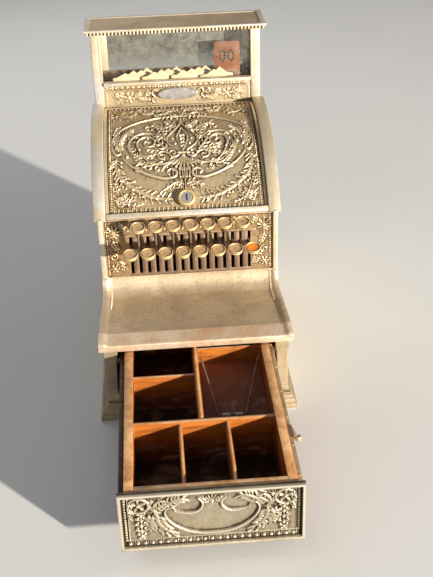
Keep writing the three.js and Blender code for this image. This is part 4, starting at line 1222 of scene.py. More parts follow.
def side_relief(side):
    """Scroll panel on the outside, its top following the lid's arc."""
    low, high, foot = 134.0, 368.0, 108.0
    wide = high - low
    r = Relief((0, 0), (wide, 150), 1.25)
    r.scroll(oval((wide / 2, 66), wide * 0.36, 47), 4.4, 1.4, taper=(1, 1))
    r.flower((wide / 2, 66), 21, 8, 1.4)
    r.volute((wide / 2 - 48, 66), 19, 0, 1.6, 4.0, 1.4)
    r.volute((wide / 2 + 48, 66), 19, 180, -1.6, 4.0, 1.4)
    for x in (24, wide - 24):
        r.fan((x, 22), 15, 90, 200, 7, 1.3)
        r.leaf([(x, 40), (x + 3, 62), (x - 3, 84), (x, 104)], 17, 1.3, 5)
        r.flower((x, 122), 11, 6, 1.3)
    r.garland([(46, 124), (86, 131), (wide / 2, 126), (wide - 86, 131), (wide - 46, 124)], 15, 1.3, 8)
    r.fan((wide / 2, 10), 12, 90, 150, 5, 1.3)
    for edge in (3.5, 146.5):
        r.bead_row((4, edge), (wide - 4, edge), 5.0, 1.9, 1.3)
    for x in (3.5, wide - 3.5):
        r.bead_row((x, 8), (x, 142), 5.0, 1.9, 1.3)

    def level(depth, up):
        under = ARC_Z + np.sqrt(np.clip(203.0**2 - (depth - ARC_DEPTH) ** 2, 0, None))
        return foot + (np.where(depth < ARC_DEPTH, under, 298.0) - foot) * up / 150

    flank(side, "side_relief", r, low, level, 1.5, grain=0.05, seed=61 + side)


def flank(side, what, r, first, level, thick, grain, seed):
    """A relief on the outside of the machine; level gives its height at a depth and share."""
    face = side * (BODY_HALF - 0.3)

    def place(x, up, height):
        return face + side * (height - 0.1), to_y(first + x), level(first + x, up)

    def back(x, up):
        return np.full_like(x, face - side * thick), to_y(first + x), level(first + x, up)

    name = ("right_" if side > 0 else "left_") + what
    settle(relief_piece(name, r, place, back, MAT["panel"], grain=grain, seed=seed), "cabinet")


def side_casting(side):
    name = "right" if side > 0 else "left"
    span = between(side, BODY_HALF - 7, BODY_HALF)
    outline = [(to_y(d), z) for d, z in side_outline()]
    plate = extruded(outline, span[0], span[1], "X", 1.1, 3)
    rail = arc_strip(208, RAIL_R, LID_FROM, 143.9, side * (LID_HALF + 0.6), side * (BODY_HALF + 4.5), 1.8)
    post_x = between(side, 108, BODY_HALF + 0.2)
    post = bar_mesh((post_x[0], to_y(DISPLAY_FRONT - 0.6), 312),
                    (post_x[1], to_y(DISPLAY_FRONT + 10), DISPLAY_TOP), 1.3, 3)
    inner = between(side, 107.8, 111)
    jamb = bar_mesh((inner[0], to_y(DISPLAY_FRONT - 1.2), 350.2),
                    (inner[1], to_y(DISPLAY_FRONT), DISPLAY_TOP - 0.3), 0.5)
    piece_of(name + "_side_plate", [plate, rail, post, jamb], MAT["rail"], "cabinet",
             [name + "_side_casting"])
    side_relief(side)


# ---- base ----------------------------------------------------------------------------------------
def plinth():
    profile = [(0, 0), (21.0, 0), (21.8, 0.8), (22, 2), (22, 6), (21.4, 7), (20.2, 7.4), (19.6, 8.2),
               (19.8, 9.6), (19.4, 11.5), (18.2, 13.2), (16.6, 14.4), (15.8, 15.6), (16.2, 16.8),
               (15.6, 17.8), (13.8, 18.6), (13, 20), (0, 20)]
    piece_of("plinth_moulding", [mitred(109, 181, 0, profile)], MAT["base"], "cabinet",
             ["plinth"], angle=40)
    low, high = node_box("bottom_board")
    seams = [low[0] + (high[0] - low[0]) * k / 4 for k in range(5)]
    planks = [bar_mesh((x0 + 0.15, low[1], low[2]), (x1 - 0.15, high[1], high[2]), 0.7)
              for x0, x1 in zip(seams, seams[1:])]
    piece_of("base_planks", planks, MAT["board"], "cabinet", ["bottom_board"])


def pilaster(side):
    """A tapering front post with a capital and a flared foot."""
    inner, outer = BODY_HALF - 18.5, BODY_HALF
    mid = (inner + outer) / 2
    steps = [(20.3, 9.2, 0), (24.5, 9.2, 0), (25.6, 8.4, 0.7), (27.5, 8.4, 0.7), (31, 6.4, 1.6),
             (37, 6.1, 1.8), (80, 7.6, 1.6), (86, 8.0, 1.4), (87, 8.8, 0.6), (90, 8.8, 0.6), (91, 9.2, 0),
             (99.7, 9.2, 0)]
    bevel = 0.9
    verts = []
    for z, half, recess in steps:
        x0, x1, y0, y1 = mid - half, mid + half, to_y(recess), to_y(12.4)
        ring = [(x0, y1), (x0, y0 + bevel), (x0 + bevel, y0), (x1 - bevel, y0), (x1, y0 + bevel), (x1, y1)]
        verts += [(side * x, y, z) for x, y in ring]
    return np.array(verts), swept_faces(len(steps), 6)


def housing():
    half, low, high = BODY_HALF, 20.3, 99.7
    parts = [pilaster(-1), pilaster(1)]
    for side in (-1, 1):
        x0, x1 = between(side, half - 6, half)
        parts.append(bar_mesh((x0, to_y(11.5), low), (x1, to_y(BODY_BACK), high), 0.8))
        l0, l1 = between(side, 95, half - 5.5)
        parts.append(bar_mesh((l0, to_y(14), 70.5), (l1, to_y(BODY_BACK - 12), 79.5), 0.8))
    parts.append(bar_mesh((-half + 5, to_y(BODY_BACK - 6), low), (half - 5, to_y(BODY_BACK), high), 0.8))
    piece_of("base_walls", parts, MAT["base"], "cabinet", ["drawer_housing"])
    for side in (-1, 1):
        base_relief(side)


def base_relief(side):
    """A low running scroll along the outside of the base."""
    wide, tall, first = 340.0, 66.0, 24.0
    r = Relief((0, 0), (wide, tall), 1.35)
    for k in range(7):
        x = 28 + 47 * k
        turn = 1 if k % 2 else -1
        r.volute((x, tall / 2), 14, 90 * turn, 1.5 * turn, 3.2, 1.2)
        r.leaf([(x + 12, tall / 2), (x + 22, tall / 2 + 12 * turn), (x + 33, tall / 2 + 14 * turn)], 11,
               1.1, 4)
        r.bead((x + 23.5, tall / 2 - 10 * turn), 2.6, 1.1)
    for y in (3.5, tall - 3.5):
        r.bead_row((4, y), (wide - 4, y), 4.6, 1.7, 1.1)
    flank(side, "base_relief", r, first, lambda depth, up: 26.5 + up, 1.2, grain=0.04, seed=71 + side)


# ---- cornice ----------------------------------------------------------------------------------------
def cornice():
    low, high = node_box("cornice")
    half_x, half_y = high[0], (high[1] - low[1]) / 2
    middle = (high[1] + low[1]) / 2
    lip = [(12, 428.9), (20.4, 428.9), (21.5, 429.2), (22, 430.0), (22, 431.0), (21.5, 431.8),
           (20.4, 432.1), (16.4, 432.1), (15.6, 431.5), (15.2, 430.4), (12, 430.4)]
    neck = [(0, 424.6), (17.6, 424.6), (18.2, 425.2), (18.2, 428.4), (17.6, 429.4), (0, 429.4)]
    moulding = mitred(half_x - 22, half_y - 22, middle, lip)
    piece_of("cornice_lip", [moulding], MAT["rail"], "cabinet", ["cornice"], angle=40)
    moulding = mitred(half_x - 22, half_y - 22, middle, neck)
    # The neck is near-black as painted shade behind the teeth.
    piece_of("cornice_neck", [moulding], MAT["dark"], "cabinet", angle=40)
    x, y = half_x - 7.0, half_y - 7.0
    r = Relief((-x, middle - y), (x, middle + y), 2.0)

    def place(gx, gy, height):
        dent = 0.25 * np.sin(gx / 31.0) * np.cos(gy / 17.0)
        return gx, gy, 430.7 + height + dent

    def back(gx, gy):
        return gx, gy, np.full_like(gx, 426.2)

    top = relief_piece("cornice_top", r, place, back, MAT["cornice"], grain=0.03, seed=81)
    settle(top, "cabinet")
    piece_of("cornice_teeth", dentils(half_x, half_y, middle), MAT["lip"], "cabinet")


def dentils(half_x, half_y, middle):
    """Small upright teeth under the cornice's edge, on all four sides."""
    pitch, x, y = 5.0, half_x - 4.6, half_y - 4.6
    narrow, deep, foot, head = 1.25, 2.6, 424.2, 429.0
    across, along = int(2 * x / pitch), int(2 * y / pitch)
    spots = [(-x + 2 * x * k / across, middle + side * y, narrow, deep) for k in range(across + 1)
             for side in (-1, 1)]
    spots += [(side * x, middle - y + 2 * y * k / along, deep, narrow) for k in range(1, along)
              for side in (-1, 1)]
    return [bar_mesh((cx - a, cy - b, foot), (cx + a, cy + b, head), 0.7, 2) for cx, cy, a, b in spots]


apron()
apron_beads()
for hand in (-1, 1):
    side_casting(hand)
plinth()
housing()
cornice()


# ---- keys -------------------------------------------------------------------------------------
PIVOT_DEPTH, PIVOT_Z = 175.0, 185.0
CUP_TILT = math.radians(15)
CUP_AXIS = (0, -math.sin(CUP_TILT), math.cos(CUP_TILT))


def cup_parts(x, depth, z):
    """A turned key cup and the disc that lies in it, tilted towards the user."""
    r = 9.75
    profile = [(0, -3.5), (3.4, -3.5), (6.4, -3.2), (8.4, -2.3), (9.2, -1.2), (9.3, -0.4), (9.0, 0.1),
               (9.3, 0.6), (r, 1.3), (r, 2.9), (r - 0.3, 3.5), (r - 0.8, 3.6), (r - 1.1, 3.2),
               (r - 1.3, 0.2), (6.7, -0.1), (0, -0.1)]
    disc = [(0, 0.1), (7.3, 0.1), (7.5, 0.3), (7.5, 2.2), (7.2, 2.5), (6.3, 2.45), (5.8, 2.3), (3.0, 2.3),
            (0, 2.3)]
    centre = (x, to_y(depth), z)
    return turned(profile, centre, CUP_AXIS, 44), turned(disc, centre, CUP_AXIS, 36)


def key_outline(lower, rear):
    if lower:
        finger = [(96, 189.5), (84, 191.5), (76, 195.6), (70, 196.6), (68.5, 194), (71, 190.5),
                  (77, 186.6), (84, 184)]
    else:
        finger = [(104, 190), (101.5, 205), (98, 224), (92, 224), (94.5, 205), (97, 186), (99.5, 183.4),
                  (103, 182)]
    boss = [polar((PIVOT_DEPTH, PIVOT_Z), 8, a) for a in range(30, 151, 20)]
    under = [polar((PIVOT_DEPTH, PIVOT_Z), 8, a) for a in range(-150, -29, 20)]
    return [(rear, 182), (rear, 188)] + boss + [(118, 188.5)] + finger + [(118, 181.5)] + under


def flag_depth(i):
    return 337 + 4.5 * (i % 4)


def key(i):
    name = f"key_{i:02d}"
    lower = i % 2 == 0
    x = key_x(i)
    edge = [(to_y(d), z) for d, z in key_outline(lower, flag_depth(i) + 8)]
    lever = extruded(edge, x - 1.3, x + 1.3, "X", 0.35, 1)
    depth, z = (72, 199) if lower else (95, 226.5)
    cup, disc = cup_parts(x, depth, z)
    neck = turned([(0, -6.2), (2.3, -6.2), (2.0, -4.8), (3.6, -3.0), (0, -3.0)], (x, to_y(depth), z),
                  CUP_AXIS, 20)
    hub = turned([(4.3, -1.8), (6.4, -1.8), (6.6, -1.5), (6.6, 1.5), (6.4, 1.8), (4.3, 1.8)],
                 (x, to_y(PIVOT_DEPTH), PIVOT_Z), (1, 0, 0), 24)
    piece_of(name + "_lever", [lever, neck, hub], MAT["lever"], name, [name])
    piece_of(name + "_cup", [cup], MAT["key"], name)
    last = i == KEYS - 1
    piece_of(name + "_disc", [disc], MAT["orange_disc" if last else "disc"], name)
    numeral = KEY_WORTH[i]
    if numeral:
        face = Matrix.Translation((x, to_y(depth), z)) @ Matrix.Rotation(CUP_TILT, 4, "X")
        marks = figures(numeral, 4.4, 0.3, face @ Matrix.Translation((0, 0, 2.26)))
        piece_of(name + "_figures", marks, MAT["faint"], name)


# ---- figures --------------------------------------------------------------------------------------
KEY_WORTH = ["1", "2", "3", "4", "5", "10", "15", "20", "25", "30", "40", "50", "75", "100", ""]
DIGITS = {
    "0": [(0.5, 1), (0.15, 0.8), (0.1, 0.5), (0.15, 0.2), (0.5, 0), (0.85, 0.2), (0.9, 0.5), (0.85, 0.8),
          (0.5, 1)],
    "1": [(0.25, 0.8), (0.55, 1), (0.55, 0)],
    "2": [(0.12, 0.75), (0.3, 0.97), (0.65, 0.98), (0.86, 0.75), (0.7, 0.48), (0.12, 0), (0.9, 0)],
    "3": [(0.12, 0.88), (0.45, 1), (0.84, 0.78), (0.5, 0.54), (0.88, 0.26), (0.5, 0), (0.1, 0.14)],
    "4": [(0.7, 0), (0.7, 1), (0.08, 0.32), (0.94, 0.32)],
    "5": [(0.84, 1), (0.22, 1), (0.16, 0.55), (0.52, 0.62), (0.88, 0.32), (0.5, 0), (0.1, 0.1)],
    "6": [(0.78, 0.94), (0.3, 0.72), (0.12, 0.3), (0.5, 0), (0.86, 0.28), (0.52, 0.56), (0.14, 0.34)],
    "7": [(0.1, 1), (0.9, 1), (0.4, 0)],
}


def stroke_bar(a, b, width, thick):
    """One straight stroke of a figure as a thin bar with clipped ends."""
    a, b = np.array(a, float), np.array(b, float)
    run = max(np.hypot(*(b - a)), 1e-6)
    t = (b - a) / run
    n = np.array([-t[1], t[0]])
    a, b = a - t * width * 0.35, b + t * width * 0.35
    e = width * 0.5
    ring = [a + n * e * 0.5, a - n * e * 0.5, a + t * e * 0.5 - n * e, b - t * e * 0.5 - n * e,
            b - n * e * 0.5, b + n * e * 0.5, b - t * e * 0.5 + n * e, a + t * e * 0.5 + n * e]
    verts = [(*p, 0) for p in ring] + [(*p, thick) for p in ring]
    m = len(ring)
    faces = [[k, (k + 1) % m, m + (k + 1) % m, m + k] for k in range(m)]
    faces += [list(range(m))[::-1], [m + k for k in range(m)]]
    return np.array(verts), faces


def figures(text, size, thick, place, weight=0.17):
    """Raised figures centred on the place's origin, reading along its X."""
    advance = size * 0.78
    parts = []
    for k, sign in enumerate(text):
        left = (k - len(text) / 2) * advance + advance * 0.1
        points = [(left + u * size * 0.6, (v - 0.5) * size) for u, v in DIGITS[sign]]
        for a, b in zip(points, points[1:]):
            verts, faces = stroke_bar(a, b, size * weight, thick)
            parts.append((np.array([place @ Vector(v) for v in verts]), faces))
    return parts


# ---- display --------------------------------------------------------------------------------------
FLAG_FOOT, RAISED, FLAG_HEIGHT = 309.5, 36.5, 52.0


def flag_outline(i, rng):
    """The tablet's outline; the low ones have a gable that has taken a few knocks."""
    w, h = 19.0, FLAG_HEIGHT
    if i == KEYS - 1:
        corner = [(w - 4 + 4 * math.cos(a), h - 5 + 5 * math.sin(a)) for a in np.radians([0, 30, 60, 90])]
        other = [(-w + 4 - 4 * math.sin(a), h - 5 + 5 * math.cos(a)) for a in np.radians([0, 30, 60, 90])]
        return [(-w, 0), (w, 0)] + corner + other
    slump = rng.uniform(-1.2, 1.2, 5)
    left, right, top = h - 8.6 + slump[0], h - 8.6 + slump[1], h + 1.3 * slump[3] + 0.4
    tip, foot = 1.4 * slump[2], 9.6 + slump[4]
    return [(-w, 0), (w, 0), (w, right), (foot + 1.2, right + 1.4), (foot, right + 2.0),
            (tip + 1.0, top - 0.4), (tip, top), (tip - 1.0, top - 0.5), (-foot, left + 1.9),
            (-foot - 1.3, left + 1.2), (-w, left)]


def flag(i):
    name = f"flag_{i:02d}"
    rng = np.random.default_rng(100 + i)
    last = i == KEYS - 1
    lift = RAISED if last else 0.0
    depth, x, shift = flag_depth(i), key_x(i), (i - (KEYS - 1) / 2) * FLAG_PITCH
    edge = [(u + shift, v + FLAG_FOOT + lift) for u, v in flag_outline(i, rng)]
    board = extruded(edge, to_y(depth), to_y(depth + 1), "Y", 0.3, 2)
    piece_of(name + "_tablet", [board], MAT["orange" if last else "tablet"], name, [name])
    rod = bar_mesh((x - 1, to_y(depth) - 0.5, PIVOT_Z + 3.3 + lift),
                   (x + 1, to_y(depth) + 1.5, FLAG_FOOT + 6 + lift), 0.25, 1)
    tab = bar_mesh((x - 3, to_y(depth) - 0.35, FLAG_FOOT + lift + 0.5),
                   (x + 3, to_y(depth) + 1.3, FLAG_FOOT + lift + 7), 0.25, 1)
    piece_of(name + "_rod", [rod, tab], MAT["works"], name)
    text = "00" if last else KEY_WORTH[i]
    if not text:
        return
    size = 16 if last else 19
    at = Vector((shift, to_y(depth) + 0.05, FLAG_FOOT + lift + (31 if last else 20)))
    turn = Matrix.Translation(at) @ Matrix.Rotation(math.radians(90), 4, "X")
    piece_of(name + "_figures", figures(text, size, 0.22, turn, 0.19), MAT["print"], name)


def display_glass():
    for end, finish in (("front", "glass"), ("rear", "back_glass")):
        pane = bar_mesh(*node_box(end + "_glass"), 0.4, 2)
        piece_of(end + "_pane", [pane], MAT[finish], "cabinet", [end + "_glass"])
    ledge = bar_mesh((-106, to_y(366.3), 343), (106, to_y(370.7), 356), 0.8, 2)
    piece_of("inner_ledge", [ledge], MAT["board"], "cabinet")


def flag_guide():
    """The slotted plate the rods rise through, made of bars between its holes."""
    low, high = node_box("flag_guide")
    rows = [flag_depth(k) + 0.5 for k in range(4)]
    edges = [low[1]] + [to_y(d) + s for d in rows for s in (-1.5, 1.5)] + [high[1]]
    parts = [bar_mesh((low[0], edges[k], low[2]), (high[0], edges[k + 1], high[2]), 0.3, 1)
             for k in range(0, len(edges), 2)]
    for k in range(4):
        y0, y1 = edges[2 * k + 1], edges[2 * k + 2]
        stops = [low[0]] + [key_x(i) + s for i in range(k, KEYS, 4) for s in (-1.5, 1.5)] + [high[0]]
        for j in range(0, len(stops), 2):
            parts.append(bar_mesh((stops[j], y0, low[2]), (stops[j + 1], y1, high[2]), 0))
    piece_of("rod_guide", parts, MAT["works"], "cabinet", ["flag_guide"])


# ---- lock --------------------------------------------------------------------------------------------
def lock():
    a = math.radians(LOCK_ANGLE)
    axis = (0, math.cos(a), math.sin(a))
    centre = (0, to_y(ARC_DEPTH), ARC_Z)
    bezel = [(8, 209), (10, 209), (10, 219.4), (12, 219.4), (12, 223.6), (11.8, 224.8), (11.2, 225.8),
             (10.2, 226.6), (9.3, 226.9), (8.6, 226.7), (8, 226.0)]
    piece_of("lock_bezel", [turned(bezel, centre, axis, 56)], MAT["key"], "lid",
             ["lock_barrel"])
    plug = turned([(0, 203), (7.7, 203), (7.7, 226.1), (7.3, 226.6), (0, 226.6)], centre, axis, 48)
    slot = on_lock(bar_mesh((-1.1, -5.0, 219.5), (1.1, 5.0, 229), 0), centre, a)
    cam = on_lock(bar_mesh((-4, -4.5, 203), (22, 4.5, 205.5), 0.8), centre, a)
    body = piece_of("lock_core", [plug], MAT["silver"], "lock", ["lock_plug"])
    carve(body, [slot])
    piece_of("lock_cam", [cam], MAT["steel"], "lock")


def on_lock(part, centre, angle):
    """Moves a part from the lock's own axes, whose Z leaves the lid, to its place."""
    tilt = angle - math.pi / 2
    cos, sin = math.cos(tilt), math.sin(tilt)
    verts, faces = part
    moved = [(x, y * cos - z * sin, y * sin + z * cos) for x, y, z in verts]
    return np.array(moved) + np.array(centre), faces


def carve(piece, parts):
    """Cuts parts out of a piece for good."""
    verts, faces = merge(parts)
    cutter = make_piece("cutter", verts, faces, piece.data.materials[0])
    cut = piece.modifiers.new("cut", "BOOLEAN")
    cut.object, cut.operation, cut.solver = cutter, "DIFFERENCE", "EXACT"
    graph = bpy.context.evaluated_depsgraph_get()
    mesh = bpy.data.meshes.new_from_object(piece.evaluated_get(graph))
    piece.modifiers.clear()
    piece.data = mesh
    mesh.set_sharp_from_angle(angle=math.radians(35))
    bpy.data.objects.remove(cutter, do_unlink=True)


for number in range(KEYS):
    key(number)
    flag(number)
display_glass()
flag_guide()
lock()


# ---- drawer ----------------------------------------------------------------------------------------
BOX_LOW, BOX_HIGH = node_box("drawer_box")
WALL, FLOOR_TOP = 10.5, 38.0
FINGERS = 7


def wooden(name, parts, finish, nodes=()):
    piece_of(name, parts, MAT[finish], "drawer", nodes)


def finger_levels():
    return np.linspace(BOX_LOW[2], BOX_HIGH[2], FINGERS + 1)


def side_board(side):
    """A long drawer side with finger joints cut at both ends."""
    y0, y1 = BOX_LOW[1], BOX_HIGH[1]
    levels = finger_levels()
    front, rear = [], []
    for k in range(FINGERS):
        cut = WALL if k % 2 else 0.0
        front += [(y0 + cut, levels[k]), (y0 + cut, levels[k + 1])]
        rear += [(y1 - cut, levels[k]), (y1 - cut, levels[k + 1])]
    x0, x1 = between(side, BOX_HIGH[0] - WALL, BOX_HIGH[0])
    return extruded(front + rear[::-1], x0, x1, "X", 0.45, 2)


def end_board(y0, y1):
    """The front or back board; its fingers fill the gaps in the sides."""
    levels = finger_levels()
    half, inner = BOX_HIGH[0] - 0.15, BOX_HIGH[0] - WALL - 0.05
    right = []
    for k in range(FINGERS):
        reach = half if k % 2 else inner
        right += [(reach, levels[k] + 0.05), (reach, levels[k + 1] - 0.05)]
    left = [(-x, z) for x, z in right[::-1]]
    return extruded(right + left, y0, y1, "Y", 0.45, 2)


def drawer_box():
    y0, y1 = BOX_LOW[1], BOX_HIGH[1]
    sides = [side_board(-1), side_board(1)]
    wooden("drawer_sides", sides, "wood_y", ["drawer_box"])
    ends = [end_board(y0 + 0.1, y0 + WALL), end_board(y1 - WALL, y1 - 0.1)]
    wooden("drawer_ends", ends, "wood_x")
    half = BOX_HIGH[0] - WALL + 0.2
    seams = [y0 + WALL - 0.2 + (y1 - y0 - 2 * WALL + 0.4) * k / 3 for k in range(4)]
    planks = [bar_mesh((-half, a, BOX_LOW[2]), (half, b, FLOOR_TOP), 0.5, 2)
              for a, b in zip(seams, seams[1:])]
    wooden("drawer_floor", planks, "floor")


def rounded_board(low, high, along, crown=2.4):
    """A thin upright board with a rounded top edge; along is X or Y."""
    a, b = (0, 1) if along == "X" else (1, 0)
    t0, t1, z0, z1 = low[b], high[b], low[2], high[2]
    mid, half = (t0 + t1) / 2, (t1 - t0) / 2
    top = [(mid + half * math.cos(t), z1 - crown + crown * math.sin(t))
           for t in np.radians(np.linspace(0, 180, 9))]
    return extruded([(t0, z0), (t1, z0)] + top, low[a], high[a], along)


def dividers():
    half = BOX_HIGH[0] - WALL - 0.3
    floor = FLOOR_TOP + 0.3
    back = node_box("coin_dividers")[1][1]
    cross = rounded_board((-half, back - 7, floor), (half, back, 93), "X", 2.2)
    wooden("cross_divider", [cross], "wood_x", ["coin_dividers"])
    fins = [rounded_board((x, BOX_LOW[1] + WALL + 0.3, floor), (x + 5, back - 6.6, 91), "Y", 2.2)
            for x in (-31, 25)]
    wooden("coin_fins", fins, "wood_y")
    low, high = node_box("spine_divider")
    spine = rounded_board((high[0] - 6.5, low[1], floor), (high[0], high[1], 93), "Y", 2.6)
    wooden("spine_board", [spine], "wood_y", ["spine_divider"])
    shelf = rounded_board((low[0], to_y(-49), floor), (high[0] - 6.3, to_y(-43), 88), "X", 2.0)
    wooden("rear_cross_board", [shelf], "wood_x")


def bill_ramp():
    low, high = node_box("bill_ramp")
    front, knee, back = low[1], to_y(3), high[1]
    slope = extruded([(front, low[2]), (knee, low[2]), (knee, 70), (front, 40)], low[0], high[0], "X",
                     0.3, 1)
    wooden("note_ramp", [slope], "ramp", ["bill_ramp"])
    board = rounded_board((low[0], knee, low[2]), (high[0], back, 92), "X", 2.0)
    wooden("ramp_board", [board], "wood_x")


def bail_wire():
    """The bail's wire, hung from both sides, with round bends."""
    pivot, z, left, right = node_box("bill_weight")[1][1] - 1.4, 88.0, 4.0, 79.0
    foot, foot_z = to_y(-92), 54.6
    path = [(left - 2.5, pivot, z), (left - 0.4, pivot, z), (left + 0.6, pivot - 1.2, z - 0.8),
            (left + 1.9, pivot - 5, z - 2.6)]
    path += [(20.2, foot + 3.4, foot_z + 1.6), (20.9, foot + 1.0, foot_z + 0.5), (22.4, foot, foot_z),
             (38, foot, foot_z)]
    path += [(53.6, foot, foot_z), (55.1, foot + 1.0, foot_z + 0.5), (55.8, foot + 3.4, foot_z + 1.6)]
    path += [(right - 1.9, pivot - 5, z - 2.6), (right - 0.6, pivot - 1.2, z - 0.8),
             (right + 0.4, pivot, z), (right + 2.5, pivot, z)]
    return path


def bail():
    piece_of("bail_wire", [tube(bail_wire(), 1.15, 12)], MAT["wire"], "bail", ["bill_weight"])
    rolls = []
    for x in (25, 41):
        profile = [(1.2, 0), (2.5, 0), (2.9, 0.5), (2.9, 9.5), (2.5, 10), (1.2, 10)]
        rolls.append(turned(profile, (x, to_y(-92), 54.6), (1, 0, 0), 24))
    piece_of("bail_rollers", rolls, MAT["silver"], "bail")


def runners():
    # The left runner's strip is near-black as painted shade; the right one is plain brass.
    for name, finish in (("left_runner", "dark"), ("right_runner", "strip")):
        low, high = node_box(name)
        x0, x1 = (-100, low[0] + 6) if name[0] == "l" else (94, 100)
        middle = (x0 + x1) / 2
        strip = [bar_mesh((x0, low[1], 80.5), (x1, high[1], 90), 1.0, 2)]
        for y in np.arange(low[1] + 18, high[1] - 6, 52):
            strip.append(turned([(0, 89), (2.2, 89), (2.2, 90.2), (1.4, 90.9), (0, 91)], (middle, y, 0),
                                (0, 0, 1), 20))
        if name[0] == "r":
            strip += catch_lug()
        piece_of(name + "_strip", strip, MAT[finish], "drawer", [name])


def catch_lug():
    """The small hooked catch on the right runner, with a turned ring at its end."""
    outline = [(99.5, -190), (102.4, -191.4), (103.6, -188.4), (102.8, -183), (101.2, -174), (99.5, -166)]
    arm = extruded([(x, to_y(d)) for x, d in outline], 86.5, 93, "Z", 0.8, 2)
    ring = turned([(1.5, 86.8), (3.2, 86.8), (3.7, 87.6), (3.7, 91.9), (3.2, 92.7), (1.5, 92.7)],
                  (105.2, to_y(-190.5), 0), (0, 0, 1), 28)
    return arm, ring


def drawer():
    drawer_box()
    dividers()
    bill_ramp()
    bail()
    runners()


drawer()


# ---- works and back ---------------------------------------------------------------------------------
def shaft(node, radius):
    """A plain round pin that fills a node from end to end along X."""
    low, high = node_box(node)
    centre = (low + high) / 2
    profile = [(0, low[0]), (radius - 0.5, low[0]), (radius, low[0] + 0.6)]
    profile += [(radius, high[0] - 0.6), (radius - 0.5, high[0]), (0, high[0])]
    return turned(profile, (0, centre[1], centre[2]), (1, 0, 0), 28)


def works():
    piece_of("key_shaft", [shaft("key_pivot_shaft", 4)], MAT["works"], "cabinet",
             ["key_pivot_shaft"])
    piece_of("lid_pin", [shaft("lid_hinge_pin", 3)], MAT["works"], "cabinet", ["lid_hinge_pin"])
    counter()
    sounder()
    latch()


def counter():
    low, high = node_box("counter_wheels")
    centre_y, centre_z = (low[1] + high[1]) / 2, (low[2] + high[2]) / 2
    rod = turned([(0, low[0]), (2.6, low[0]), (3, low[0] + 0.5), (3, high[0] - 0.5), (2.6, high[0]),
                  (0, high[0])], (0, centre_y, centre_z), (1, 0, 0), 24)
    rims, marks = [], []
    for k in range(6):
        x = -40 + 14 * k
        profile = [(2.8, x + 3), (6, x + 3), (7, x + 2), (14, x + 2), (15, x), (16.4, x), (16.9, x + 0.6),
                   (16.9, x + 9.4), (16.4, x + 10), (15, x + 10), (14, x + 8), (7, x + 8), (6, x + 7),
                   (2.8, x + 7)]
        rims.append(turned(profile, (0, centre_y, centre_z), (1, 0, 0), 40))
        for j in range(8):
            place = Matrix.Translation((x + 5, centre_y, centre_z))
            turn = place @ Matrix.Rotation(math.radians(45 * j), 4, "X")
            marks += figures(str(j), 6.0, 0.3, turn @ Matrix.Translation((0, 0, 16.75)))
    piece_of("counter_rims", [rod, *rims], MAT["silver"], "counter", ["counter_wheels"])
    piece_of("counter_figures", marks, MAT["print"], "counter")


def sounder():
    """The bell on the inside of the back cover."""
    low, high = node_box("bell")
    x, z = (low[0] + high[0]) / 2, (low[2] + high[2]) / 2
    base = to_y(BODY_BACK - 12)
    arc = np.radians(np.linspace(90, 10, 9))
    dome = [(28 * math.sin(a), 22 * math.cos(a)) for a in arc]
    inner = [(26 * math.sin(a), 20 * math.cos(a)) for a in arc[::-1]]
    shell = turned(dome + [(3.4, 22.4), (3.4, 23.0), (2.4, 23.6), (0, 23.7), (0, 19.8)] + inner
                   + [dome[0]], (x, base, z), (0, -1, 0), 48)
    post = turned([(0, -6), (4.5, -6), (4.5, -4), (3, -3.4), (3, 20.8), (0, 20.8)], (x, base, z),
                  (0, -1, 0), 24)
    piece_of("bell_shell", [shell, post], MAT["key"], "cabinet", ["bell"])


def latch():
    depth, z = 333, 112
    outline = [(depth - 6, z - 5), (depth + 5, z - 5), (depth + 14, 105), (depth + 15, 98.5),
               (depth + 19, 98.5), (depth + 20, 108), (depth + 12, z + 5), (depth - 6, z + 5),
               (depth - 7.2, z)]
    hook = extruded([(to_y(d), h) for d, h in outline], -4, 4, "X", 0.8, 2)
    pin = turned([(0, -9.5), (2.6, -9.5), (3, -9.1), (3, 9.1), (2.6, 9.5), (0, 9.5)], (0, to_y(depth), z),
                 (1, 0, 0), 24)
    piece_of("latch_hook", [hook, pin], MAT["works"], "latch", ["drawer_latch"])


def back_cover():
    low, high = node_box("back_cover")
    half, foot, top = high[0], low[2], high[2]
    inner, outer = high[1] - 5, high[1]
    sill, head, side = 350.0, 418.0, 100.0
    r = Relief((-half, 0), (half, sill - foot), 1.15)
    back_ornament(r, half, sill - foot)

    place, back = upright(outer - 1.4, inner, foot, 1)
    plate = relief_piece("back_relief", r, place, back, MAT["panel"], grain=0.05, seed=91)
    settle(plate, "cabinet", ["back_cover"])
    frame_bars = [bar_mesh((-half, inner, head), (half, outer, top), 0.8),
                  bar_mesh((-side, inner + 0.2, sill - 0.2), (side, outer + 0.9, sill + 2.2), 0.8)]
    for x0, x1 in ((-half, -side), (side, half)):
        frame_bars.append(bar_mesh((x0, inner, sill), (x1, outer, head), 0.8))
    for x0, x1 in ((-10, -6), (6, 10)):
        frame_bars.append(bar_mesh((x0, to_y(326), 106), (x1, inner + 1, 118), 0.7))
    piece_of("window_frame", frame_bars, MAT["rail"], "cabinet")


